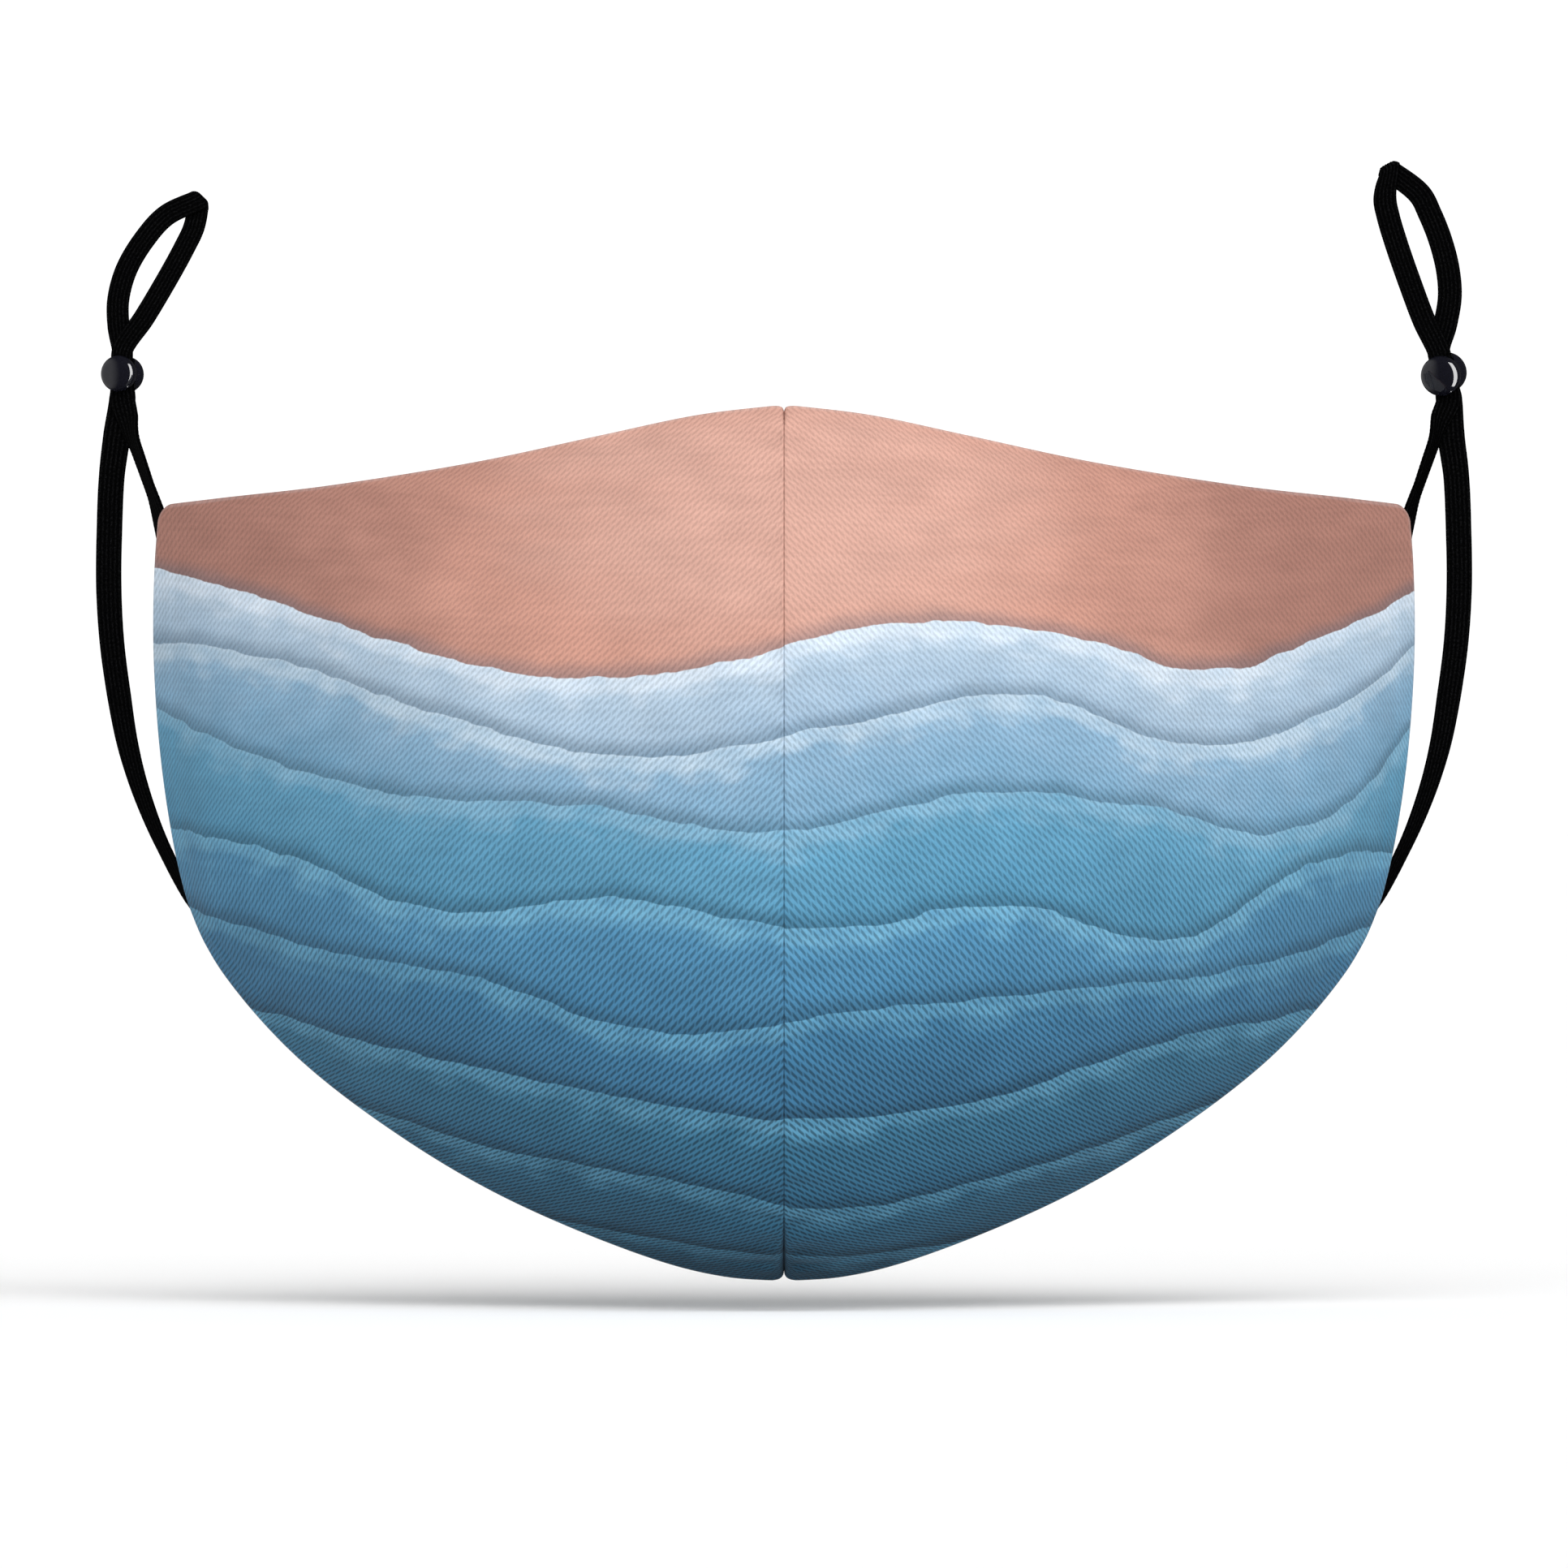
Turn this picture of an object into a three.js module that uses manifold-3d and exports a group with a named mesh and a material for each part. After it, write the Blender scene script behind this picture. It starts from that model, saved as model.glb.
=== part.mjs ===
// Contoured cloth face mask in the form that it has on a face. Two cloth panels meet along a
// curved centre seam. On each side one flat elastic cord runs from the panel's lower corner
// up through a sliding bead, round a small tail loop, back through the bead and down to the
// panel's upper corner. Millimetres. +X is to the right as seen from the front, the front
// faces -Y, and +Z is up. The origin is midway between the two side edges.

import * as THREE from 'three';
import { LoftGeometry } from 'three/addons/geometries/LoftGeometry.js';
import { mergeGeometries, mergeVertices } from 'three/addons/utils/BufferGeometryUtils.js';
import Module from 'manifold-3d';

const wasm = await Module();
wasm.setup();

const clearance = 0.3; // between pieces that touch on the real mask

// Cloth panels. The tables give the right panel's outer face: out from the middle of the
// mask, forward of the side edges, and up.
const cloth = {
	thickness: 1.4,
	courses: 25, // rows of the loft, bottom edge to top edge
	stations: 22, // steps along a course, side edge to seam
	fullForward: 5.5, // how far the cheek swells past the straight blend of the edges
	fullOut: 1.5,
	seamStart: 0.018, // share of a course that rounds into the seam
	seamRounding: 2.2,
	roundingSteps: 4,
	seamAllowance: 3, // cloth turned inwards along the seam, past the rounding
};

const topEdge = [ // seam to side edge
	{ out: 0, forward: 47, up: 71.1 },
	{ out: 13.8, forward: 44.4, up: 69.5 },
	{ out: 29.6, forward: 39.6, up: 66.3 },
	{ out: 49.5, forward: 32, up: 62.2 },
	{ out: 74.5, forward: 19.8, up: 58.4 },
	{ out: 91.7, forward: 9.2, up: 56.6 },
	{ out: 102.9, forward: 0, up: 55.4 },
];

const bottomEdge = [ // seam to side edge
	{ out: 0, forward: 30, up: -71.5 },
	{ out: 9.6, forward: 29.8, up: -70.8 },
	{ out: 20.8, forward: 28.9, up: -68.1 },
	{ out: 44.6, forward: 25.2, up: -58.5 },
	{ out: 62.6, forward: 19.6, up: -48.2 },
	{ out: 79.9, forward: 11.6, up: -35.2 },
	{ out: 91.8, forward: 4.4, up: -22 },
	{ out: 97.4, forward: 0, up: -12.5 },
];

const seamLine = [ // bottom edge to top edge
	{ out: 0, forward: 30, up: -71.5 },
	{ out: 0, forward: 44, up: -63.9 },
	{ out: 0, forward: 55.5, up: -50.6 },
	{ out: 0, forward: 64.5, up: -30.3 },
	{ out: 0, forward: 69, up: -7.6 },
	{ out: 0, forward: 69, up: 13.9 },
	{ out: 0, forward: 65, up: 36.4 },
	{ out: 0, forward: 57.5, up: 54.6 },
	{ out: 0, forward: 47, up: 71.1 },
];

const sideEdge = [ // lower corner to upper corner
	{ out: 97.4, forward: 0, up: -12.5 },
	{ out: 100.2, forward: 0.9, up: -1 },
	{ out: 102.5, forward: 1.4, up: 14 },
	{ out: 103.7, forward: 1.4, up: 31 },
	{ out: 103.6, forward: 0.8, up: 45 },
	{ out: 102.9, forward: 0, up: 55.4 },
];

// Ear cords: a flat ribbon. Its two strands pass the bead one behind the other.
const ribbon = { width: 3.6, thickness: 1, corner: 0.35, stepsPerRow: 3 };
const strandOffset = 0.75; // of each strand's middle from the middle of the bead's slot

// Beads: a thick disc with rounded edges, standing on its rim, slotted from rim to rim. The
// right one is a size larger.
const bead = { rounding: 1.8, roundingSteps: 6, segments: 28 };
const slotClearance = 0.45; // all round the two strands
const beadPassing = 3.8; // each strand is straight this far above and below the bead's middle

// out, back and up: the middle of the bead. lean and roll: the slot's tilt at the top, backwards
// and towards the mask. turn: the disc's face away from straight ahead, towards -X. The angles
// are in degrees.
const beadPlaces = {
	left: { diameter: 6, thickness: 6.4, out: 109.6, back: 25, up: 77.4, lean: 2, roll: 0, turn: 21 },
	right: { diameter: 6.7, thickness: 7, out: 109.3, back: 25, up: 77.4, lean: - 7, roll: 13, turn: 20 },
};

const lowerStrand = [ // lower corner of the panel to the bead
	{ out: 93.9, back: -1.2, up: -12.4 },
	{ out: 97, back: 2.1, up: -10 },
	{ out: 102, back: 3.5, up: -1 },
	{ out: 105.6, back: 5.6, up: 7.6 },
	{ out: 108, back: 7.8, up: 15.6 },
	{ out: 109.6, back: 10.2, up: 24 },
	{ out: 110.9, back: 12.8, up: 33.1 },
	{ out: 111.5, back: 15.4, up: 42.2 },
	{ out: 111.5, back: 18.2, up: 51.3 },
	{ out: 111.2, back: 20.7, up: 60.4 },
	{ out: 110.4, back: 23.2, up: 67.4 },
];

const upperStrand = [ // bead to the upper corner of the panel
	{ out: 108.4, back: 22.2, up: 69.4 },
	{ out: 107.2, back: 17.8, up: 65.5 },
	{ out: 105.8, back: 13.4, up: 61.8 },
	{ out: 104.3, back: 8.6, up: 57.8 },
	{ out: 102.9, back: 4.1, up: 53.7 },
	{ out: 101.8, back: 1.7, up: 50 },
	{ out: 101, back: 0.8, up: 46.8 },
	{ out: 99.6, back: -1.5, up: 43.6 },
];

// Tail loop. behind: 1 in the rear strand's plane, -1 in the front strand's.
const loopLean = THREE.MathUtils.degToRad( 10 ); // its tilt, backwards towards the top

const risingStrand = { // bead to the top of the loop
	left: [
		{ out: 110.3, up: 85.2, behind: 1 },
		{ out: 110.4, up: 89.7, behind: 1 },
		{ out: 109.1, up: 94.7, behind: 0.6 },
		{ out: 106.2, up: 99.7, behind: 0 },
		{ out: 102.5, up: 103.8, behind: - 0.5 },
	],
	right: [
		{ out: 109.6, up: 85.6, behind: 1 },
		{ out: 110.4, up: 90.3, behind: 1 },
		{ out: 110.1, up: 94.8, behind: 1 },
		{ out: 108.9, up: 99.7, behind: 1 },
		{ out: 107.2, up: 104.1, behind: 1 },
		{ out: 105.5, up: 107.4, behind: 1 },
	],
};

const loopTop = { // the turn, rounded in its own plane
	left: [
		{ out: 99.6, up: 106, behind: - 0.4 },
		{ out: 97.5, up: 105.4, behind: 0 },
		{ out: 97, up: 103.5, behind: 0.4 },
	],
	right: [
		{ out: 103.9, up: 110, behind: 0.8 },
		{ out: 101.5, up: 110.6, behind: 0.4 },
		{ out: 99.8, up: 109.1, behind: - 0.2 },
	],
};

const fallingStrand = { // top of the loop to the bead
	left: [
		{ out: 97.9, up: 101.9, behind: 0.7 },
		{ out: 99.5, up: 98.4, behind: 0.5 },
		{ out: 102.1, up: 93.5, behind: - 0.5 },
		{ out: 106, up: 86.8, behind: - 1 },
	],
	right: [
		{ out: 99.7, up: 106.6, behind: - 0.7 },
		{ out: 100.2, up: 103.7, behind: - 0.9 },
		{ out: 101.5, up: 99.2, behind: - 1 },
		{ out: 103.7, up: 92.7, behind: - 1 },
		{ out: 106.1, up: 86.2, behind: - 1 },
	],
};

const materials = {
	printCloth: new THREE.MeshStandardMaterial( { color: 0x5aa4cf, roughness: 0.9, metalness: 0 } ),
	elastic: new THREE.MeshStandardMaterial( { color: 0x08080a, roughness: 0.85, metalness: 0 } ),
	beadPlastic: new THREE.MeshStandardMaterial( { color: 0x121217, roughness: 0.18, metalness: 0 } ),
};

const pointAt = ( row ) => new THREE.Vector3( row.out, - row.forward, row.up );
const curveThrough = ( points ) => new THREE.CatmullRomCurve3( points, false, 'centripetal' );

const edges = {
	top: curveThrough( topEdge.map( pointAt ) ),
	bottom: curveThrough( bottomEdge.map( pointAt ) ),
	seam: curveThrough( seamLine.map( pointAt ) ),
	side: curveThrough( sideEdge.map( pointAt ) ),
};

// A point of the outer face before the seam is rounded: a patch blended from the four edges,
// swollen over the cheek. across runs from 0 at the seam to 1 at the side edge, and upward
// from 0 at the bottom edge to 1 at the top edge.
function facePoint( across, upward ) {

	const point = new THREE.Vector3()
		.addScaledVector( edges.bottom.getPointAt( across ), 1 - upward )
		.addScaledVector( edges.top.getPointAt( across ), upward )
		.addScaledVector( edges.seam.getPointAt( upward ), 1 - across )
		.addScaledVector( edges.side.getPointAt( upward ), across )
		.addScaledVector( edges.bottom.getPointAt( 0 ), - ( 1 - across ) * ( 1 - upward ) )
		.addScaledVector( edges.bottom.getPointAt( 1 ), - across * ( 1 - upward ) )
		.addScaledVector( edges.top.getPointAt( 0 ), - ( 1 - across ) * upward )
		.addScaledVector( edges.top.getPointAt( 1 ), - across * upward );
	const fullness = Math.sin( Math.PI * across ) * Math.sin( Math.PI * upward );
	point.x += cloth.fullOut * fullness + clearance / 2;
	point.y -= cloth.fullForward * fullness;
	return point;

}

// Into the mask, square to the seam line at that height.
function inwardAt( upward ) {

	const along = edges.seam.getTangentAt( upward );
	return new THREE.Vector3( 0, along.z, - along.y );

}

// One course of the outer face: side edge to seam, round into the seam, and the allowance.
function course( upward ) {

	const points = [];
	for ( let i = 0; i <= cloth.stations; i ++ ) {

		points.push( facePoint( 1 - ( 1 - cloth.seamStart ) * i / cloth.stations, upward ) );

	}

	const inward = inwardAt( upward );
	const corner = facePoint( 0, upward );
	const turned = corner.clone().addScaledVector( inward, cloth.seamRounding );
	const rounding = new THREE.QuadraticBezierCurve3( points.at( - 1 ), corner, turned );
	points.push( ...rounding.getPoints( cloth.roundingSteps ).slice( 1 ) );
	points.push( turned.clone().addScaledVector( inward, cloth.seamAllowance ) );
	return points;

}

// The same grid of points, set back square to the outer face by the cloth's thickness. Inside
// the fold at the seam it goes straight across, because the fold is tighter than the cloth is
// thick.
function innerFace( outer ) {

	const foldStart = cloth.stations;
	const foldEnd = cloth.stations + cloth.roundingSteps;
	const inner = outer.map( ( row, i ) => row.map( ( point, j ) => {

		const next = row[ Math.min( j + 1, row.length - 1 ) ];
		const last = row[ Math.max( j - 1, 0 ) ];
		const above = outer[ Math.min( i + 1, outer.length - 1 ) ][ j ];
		const below = outer[ Math.max( i - 1, 0 ) ][ j ];
		const alongCourse = new THREE.Vector3().subVectors( next, last );
		const upCloth = new THREE.Vector3().subVectors( above, below );
		const inward = alongCourse.cross( upCloth ).normalize();
		return point.clone().addScaledVector( inward, cloth.thickness );

	} ) );
	for ( const row of inner ) {

		for ( let j = foldStart + 1; j < foldEnd; j ++ ) {

			row[ j ].lerpVectors( row[ foldStart ], row[ foldEnd ], ( j - foldStart ) / cloth.roundingSteps );

		}

	}

	return inner;

}

// The right panel: walls lofted through closed courses, and a strip along each cut edge.
function panelGeometry() {

	const outer = [];
	for ( let i = 0; i < cloth.courses; i ++ ) outer.push( course( i / ( cloth.courses - 1 ) ) );
	const inner = innerFace( outer );
	const sections = outer.map( ( row, i ) => [ ...inner[ i ], ...row.toReversed() ] );
	return mergeGeometries( [
		new LoftGeometry( sections ),
		new LoftGeometry( [ outer[ 0 ], inner[ 0 ] ], { closed: false } ),
		new LoftGeometry( [ inner.at( - 1 ), outer.at( - 1 ) ], { closed: false } ),
	] );

}

function mirrored( geometry ) {

	const copy = geometry.clone().scale( - 1, 1, 1 );
	copy.index.array.reverse(); // keeps the faces pointing out
	return copy;

}

// Which way is out: -1 on the left of the mask, 1 on the right.
const outward = { left: - 1, right: 1 };

function beadTurn( side ) {

	const lean = THREE.MathUtils.degToRad( beadPlaces[ side ].lean );
	const roll = THREE.MathUtils.degToRad( beadPlaces[ side ].roll );
	return new THREE.Euler( - lean, - outward[ side ] * roll, 0 );

}

function beadMiddle( side ) {

	const place = beadPlaces[ side ];
	return new THREE.Vector3( outward[ side ] * place.out, place.back, place.up );

}

function slottedBead( side ) {

	const { diameter, thickness, turn } = beadPlaces[ side ];
	const half = thickness / 2 - bead.rounding;
	const profile = [ new THREE.Vector2( 0, - thickness / 2 ) ];
	for ( const end of [ - 1, 1 ] ) {

		for ( let i = 0; i <= bead.roundingSteps; i ++ ) {

			const angle = Math.PI / 2 * ( end < 0 ? i / bead.roundingSteps - 1 : i / bead.roundingSteps );
			profile.push( new THREE.Vector2(
				diameter / 2 - bead.rounding + bead.rounding * Math.cos( angle ),
				end * half + bead.rounding * Math.sin( angle ),
			) );

		}

	}

	profile.push( new THREE.Vector2( 0, thickness / 2 ) );
	const disc = new THREE.LatheGeometry( profile, bead.segments );
	disc.rotateZ( - THREE.MathUtils.degToRad( turn ) );

	const slotWidth = ribbon.width + 2 * slotClearance;
	const slotDepth = 2 * strandOffset + ribbon.thickness + 2 * slotClearance;
	const slot = new THREE.BoxGeometry( slotWidth, slotDepth, 2 * diameter );
	return fromSolid( toSolid( disc ).subtract( toSolid( slot ) ) );

}

function toSolid( geometry ) {

	const bare = geometry.clone().deleteAttribute( 'normal' ).deleteAttribute( 'uv' );
	const merged = mergeVertices( bare, 1e-4 );
	const triangles = [];
	for ( let i = 0; i < merged.index.count; i += 3 ) {

		const corners = [ 0, 1, 2 ].map( ( k ) => merged.index.getX( i + k ) );
		if ( new Set( corners ).size === 3 ) triangles.push( ...corners );

	}

	return new wasm.Manifold( new wasm.Mesh( {
		numProp: 3,
		vertProperties: merged.attributes.position.array,
		triVerts: new Uint32Array( triangles ),
	} ) );

}

function fromSolid( solid ) {

	const mesh = solid.getMesh();
	const geometry = new THREE.BufferGeometry();
	geometry.setAttribute( 'position', new THREE.Float32BufferAttribute( mesh.vertProperties, 3 ) );
	geometry.setIndex( Array.from( mesh.triVerts ) );
	geometry.computeVertexNormals();
	return geometry;

}

// Where a strand passes the bead: along the slot from its middle, upwards, and across the
// slot from its middle, backwards.
function inSlot( side, along, behind ) {

	return new THREE.Vector3( 0, behind, along ).applyEuler( beadTurn( side ) ).add( beadMiddle( side ) );

}

function cordRoute( side ) {

	const passing = [ - beadPassing, 0, beadPassing ];
	const place = ( row ) => new THREE.Vector3( outward[ side ] * row.out, row.back, row.up );
	const rows = [ ...risingStrand[ side ], ...loopTop[ side ], ...fallingStrand[ side ] ];
	const loop = rows.map( ( row ) => {

		const leaning = ( row.up - beadPlaces[ side ].up ) * Math.tan( loopLean );
		return place( { ...row, back: beadPlaces[ side ].back + leaning + strandOffset * row.behind } );

	} );
	return [
		...lowerStrand.map( place ),
		...passing.map( ( along ) => inSlot( side, along, strandOffset ) ),
		...loop,
		...passing.map( ( along ) => inSlot( side, - along, - strandOffset ) ),
		...upperStrand.map( place ),
	];

}

// Which way the ribbon's flat side faces at each row of its route: to the front in the tail
// loop and the bead, and square to the cloth at both ends.
function facingRows( side, count ) {

	const way = outward[ side ];
	const inBead = new THREE.Vector3( 0, - 1, 0 ).applyEuler( beadTurn( side ) );
	const inLoop = new THREE.Vector3( 0, - Math.cos( loopLean ), Math.sin( loopLean ) );
	const lowerEnd = new THREE.Vector3( 0.84 * way, - 0.5, - 0.25 );
	const upperEnd = new THREE.Vector3( 0.73 * way, - 0.68, 0.12 );
	const turned = new THREE.Vector3( 0.95 * way, - 0.3, 0 );
	const lower = lowerStrand.length;
	const upper = count - upperStrand.length;
	return Array.from( { length: count }, ( _, k ) => {

		if ( k < lower ) return lowerEnd.clone().lerp( inBead, Math.min( k / 5, 1 ) );
		if ( k < lower + 3 || ( k >= upper - 3 && k < upper ) ) return inBead;
		if ( k < upper ) return inLoop;
		const past = k - upper;
		if ( past < 3 ) return inBead.clone().lerp( turned, past / 3 );
		return turned.clone().lerp( upperEnd, Math.min( ( past - 3 ) / 2, 1 ) );

	} );

}

function ribbonSection( middle, along, facing ) {

	const across = new THREE.Vector3().crossVectors( along, facing ).normalize();
	const square = new THREE.Vector3().crossVectors( across, along );
	const x = ribbon.thickness / 2;
	const y = ribbon.width / 2;
	const c = ribbon.corner;
	const corners = [
		[ x, c - y ], [ x, y - c ], [ x - c, y ], [ c - x, y ],
		[ - x, y - c ], [ - x, c - y ], [ c - x, - y ], [ x - c, - y ],
	];
	return corners.map( ( [ out, aside ] ) => middle.clone()
		.addScaledVector( square, out ).addScaledVector( across, aside ) );

}

function cordGeometry( side ) {

	const route = cordRoute( side );
	const facings = facingRows( side, route.length );
	const curve = curveThrough( route );
	const steps = ( route.length - 1 ) * ribbon.stepsPerRow;
	const sections = [];
	for ( let i = 0; i <= steps; i ++ ) {

		const row = Math.min( Math.floor( i / ribbon.stepsPerRow ), route.length - 2 );
		const facing = facings[ row ].clone().lerp( facings[ row + 1 ], i / ribbon.stepsPerRow - row );
		sections.push( ribbonSection( curve.getPoint( i / steps ), curve.getTangent( i / steps ), facing ) );

	}

	return new LoftGeometry( sections, { capStart: true, capEnd: true } );

}

function named( name, geometry, material ) {

	const mesh = new THREE.Mesh( geometry, material );
	mesh.name = name;
	return mesh;

}

const mask = new THREE.Group();
const rightPanel = panelGeometry();
mask.add( named( 'panel_right', rightPanel, materials.printCloth ) );
mask.add( named( 'panel_left', mirrored( rightPanel ), materials.printCloth ) );

for ( const side of [ 'left', 'right' ] ) {

	mask.add( named( `ear_cord_${ side }`, cordGeometry( side ), materials.elastic ) );
	const slider = named( `bead_${ side }`, slottedBead( side ), materials.beadPlastic );
	slider.position.copy( beadMiddle( side ) );
	slider.rotation.copy( beadTurn( side ) );
	mask.add( slider );

}

export default mask;
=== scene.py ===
# Contoured cloth face mask: two printed panels sewn along a curved middle seam, with flat elastic
# ear cords that run through slider beads. Settings are in millimetres and meshes in metres.
# The mask faces -Y, and "out" is away from its middle.

import math

import bmesh
import bpy
import numpy as np
from mathutils import Euler, Matrix, Vector


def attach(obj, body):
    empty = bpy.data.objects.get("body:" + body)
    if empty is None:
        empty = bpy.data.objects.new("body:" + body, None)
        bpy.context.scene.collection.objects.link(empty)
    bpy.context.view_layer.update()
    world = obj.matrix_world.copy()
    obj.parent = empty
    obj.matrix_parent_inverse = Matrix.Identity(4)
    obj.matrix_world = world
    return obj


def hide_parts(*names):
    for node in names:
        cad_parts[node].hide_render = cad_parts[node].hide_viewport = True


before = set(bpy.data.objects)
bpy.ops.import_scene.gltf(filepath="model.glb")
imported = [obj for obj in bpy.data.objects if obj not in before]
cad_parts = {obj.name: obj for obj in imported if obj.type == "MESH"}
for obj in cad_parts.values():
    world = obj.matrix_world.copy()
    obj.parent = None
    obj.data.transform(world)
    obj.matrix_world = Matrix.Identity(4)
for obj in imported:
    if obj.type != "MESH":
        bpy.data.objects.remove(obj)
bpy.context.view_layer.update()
mm = 0.001
outward = {"left": -1, "right": 1}
print("frame loaded:", sorted(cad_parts))

view = {"distance": 3000, "height": 9.5, "widthSeen": 257.6, "sensor": 36}


def addCamera():
    lens = bpy.data.cameras.new("camera")
    lens.sensor_width = view["sensor"]
    lens.lens = view["sensor"] * view["distance"] / view["widthSeen"]
    lens.clip_end = 100
    camera = bpy.data.objects.new("camera", lens)
    camera.location = (0, -view["distance"] * mm, view["height"] * mm)
    camera.rotation_euler = (math.pi / 2, 0, 0)
    bpy.context.scene.collection.objects.link(camera)
    bpy.context.scene.camera = camera


studio = {
    "floor": -76,
    "floorSize": 60000,
    "ambient": 0.3,
    "mirrored": (0.95, 0.05),  # what gloss reflects: the white room at the left, and the dark rest
    "backdrop": 1.1,  # as the camera sees it
    "suns": [  # name, degrees up, aside and soft, and W/m2
        ("high left sun", 48, -14, 38, 0.75),
        ("high sun", 50, 12, 40, 0.9),
        ("high right sun", 48, 40, 38, 0.75),
        ("low left sun", 22, -8, 26, 0.7),
        ("low right sun", 22, 32, 26, 0.8),
    ],
    "fill": ("rear sun", 28, 170, 50, 0.9),  # lights the cloth's inside alone
    "strips": [  # seen in the beads' gloss alone: name, place, size, watts
        ("side strip", (1080, -1015, 80), (1330, 3600), 260),
        ("low strip", (680, 450, -1280), (300, 90), 3),
    ],
    "stripAim": (60, 26, 77),
}

glossyBeads = bpy.data.collections.new("lit by the strips")
sewnCloth = bpy.data.collections.new("lit from the rear")


def addStrip(name, place, size, watts):
    lamp = bpy.data.lights.new(name, "AREA")
    lamp.shape = "RECTANGLE"
    lamp.size, lamp.size_y = size[0] * mm, size[1] * mm
    lamp.energy = watts
    holder = bpy.data.objects.new(name, lamp)
    holder.location = Vector(place) * mm
    aim = Vector(studio["stripAim"]) - Vector(place)
    holder.rotation_euler = aim.to_track_quat("-Z", "Y").to_euler()
    holder.visible_diffuse = False
    holder.light_linking.receiver_collection = glossyBeads
    bpy.context.scene.collection.objects.link(holder)


def addSun(name, elevation, aside, softness, strength):
    sun = bpy.data.lights.new(name, "SUN")
    sun.energy = strength
    sun.angle = math.radians(softness)
    holder = bpy.data.objects.new(name, sun)
    holder.rotation_euler = (math.radians(90 - elevation), 0, math.radians(aside))
    holder.visible_glossy = False
    bpy.context.scene.collection.objects.link(holder)
    return holder


# The backdrop is white to the camera and lights the mask with a dimmer, even glow. Gloss
# reflects a room that is white at the left only.
def addBackdrop():
    world = bpy.data.worlds.new("backdrop")
    bpy.context.scene.world = world
    world.use_nodes = True
    tree = world.node_tree
    tree.nodes.clear()
    path = tree.nodes.new("ShaderNodeLightPath")
    room = tree.nodes.new("ShaderNodeTexCoord").outputs["Generated"]
    parts = tree.nodes.new("ShaderNodeSeparateXYZ")
    tree.links.new(room, parts.inputs[0])
    mirrored = ramped(tree, parts.outputs["X"], -0.85, -0.5, *studio["mirrored"])
    output = tree.nodes.new("ShaderNodeOutputWorld")
    colour = None
    glows = (
        (None, studio["ambient"]), ("Is Glossy Ray", mirrored), ("Is Camera Ray", studio["backdrop"])
    )
    for ray, strength in glows:
        glow = tree.nodes.new("ShaderNodeBackground")
        glow.inputs["Color"].default_value = (1, 1, 1, 1)
        feed(tree, glow.inputs["Strength"], strength)
        if ray:
            mix = tree.nodes.new("ShaderNodeMixShader")
            tree.links.new(path.outputs[ray], mix.inputs[0])
            tree.links.new(colour, mix.inputs[1])
            tree.links.new(glow.outputs[0], mix.inputs[2])
            glow = mix
        colour = glow.outputs[0]
    tree.links.new(colour, output.inputs["Surface"])


def addStage():
    half = studio["floorSize"] / 2
    around = ((-1, -1), (1, -1), (1, 1), (-1, 1))
    corners = [(half * x, half * y, studio["floor"]) for x, y in around]
    white, _, _ = plainShader("floor white", (0.97, 0.97, 0.97, 1), 1, Specular_IOR_Level=0)
    floor = meshFrom("floor", corners, [(0, 1, 2, 3)], [white])
    floor.visible_glossy = False
    for sun in studio["suns"]:
        addSun(*sun)
    addSun(*studio["fill"]).light_linking.receiver_collection = sewnCloth
    for strip in studio["strips"]:
        addStrip(*strip)
    addBackdrop()
    bpy.context.scene.view_settings.view_transform = "Standard"


def unit(vectors):
    return vectors / np.maximum(np.linalg.norm(vectors, axis=-1, keepdims=True), 1e-12)


def ease(values):
    values = np.clip(values, 0, 1)
    return values * values * (3 - 2 * values)


# The distance from the first of a line's points to each of them.
def runAlong(points):
    steps = np.linalg.norm(np.diff(points, axis=0), axis=1)
    return np.concatenate([[0], np.cumsum(steps)])


# A smooth line through points. Gives its length, and a function from a share of it to a place.
def lineThrough(rows, fine=200):
    rows = np.array(rows, float)
    padded = np.vstack([2 * rows[0] - rows[1], rows, 2 * rows[-1] - rows[-2]])
    gaps = np.sqrt(np.linalg.norm(np.diff(padded, axis=0), axis=1))
    pace = np.linspace(0, 1, fine, endpoint=False)[:, None]
    points = []
    for i in range(len(rows) - 1):
        before, start, end, after = padded[i : i + 4]
        gapIn, gap, gapOut = gaps[i : i + 3]
        leave = (start - before) / gapIn - (end - before) / (gapIn + gap) + (end - start) / gap
        arrive = (end - start) / gap - (after - start) / (gap + gapOut) + (after - end) / gapOut
        leave, arrive = leave * gap, arrive * gap
        bend = 3 * (end - start) - 2 * leave - arrive
        twist = 2 * (start - end) + leave + arrive
        points.append(start + leave * pace + bend * pace**2 + twist * pace**3)
    points = np.vstack([*points, rows[-1:]])
    run = runAlong(points)

    def at(share):
        where = np.clip(share, 0, 1) * run[-1]
        return np.stack([np.interp(where, run, points[:, k]) for k in range(3)], -1)

    return run[-1], at


# Shares of a length, closer together where spacingAt says.
def pacedSteps(length, spacingAt):
    place = np.linspace(0, length, 4001)
    steps = np.cumsum(np.diff(place) / spacingAt((place[1:] + place[:-1]) / 2))
    steps = np.concatenate([[0], steps])
    count = int(round(steps[-1]))
    return np.interp(np.linspace(0, steps[-1], count + 1), steps, place) / length


def cells(grid):
    corners = [grid[:-1, :-1], grid[:-1, 1:], grid[1:, 1:], grid[1:, :-1]]
    return np.stack(corners, 2).reshape(-1, 4, *grid.shape[2:])


# The faces of a closed tube from the numbers of its points, a row for each ring. They face out
# where each ring runs anticlockwise, seen from the tube's far end.
def tubeFaces(index):
    around = np.concatenate([index, index[:, :1]], 1)
    return [*cells(around), index[0, ::-1], index[-1]]


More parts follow.
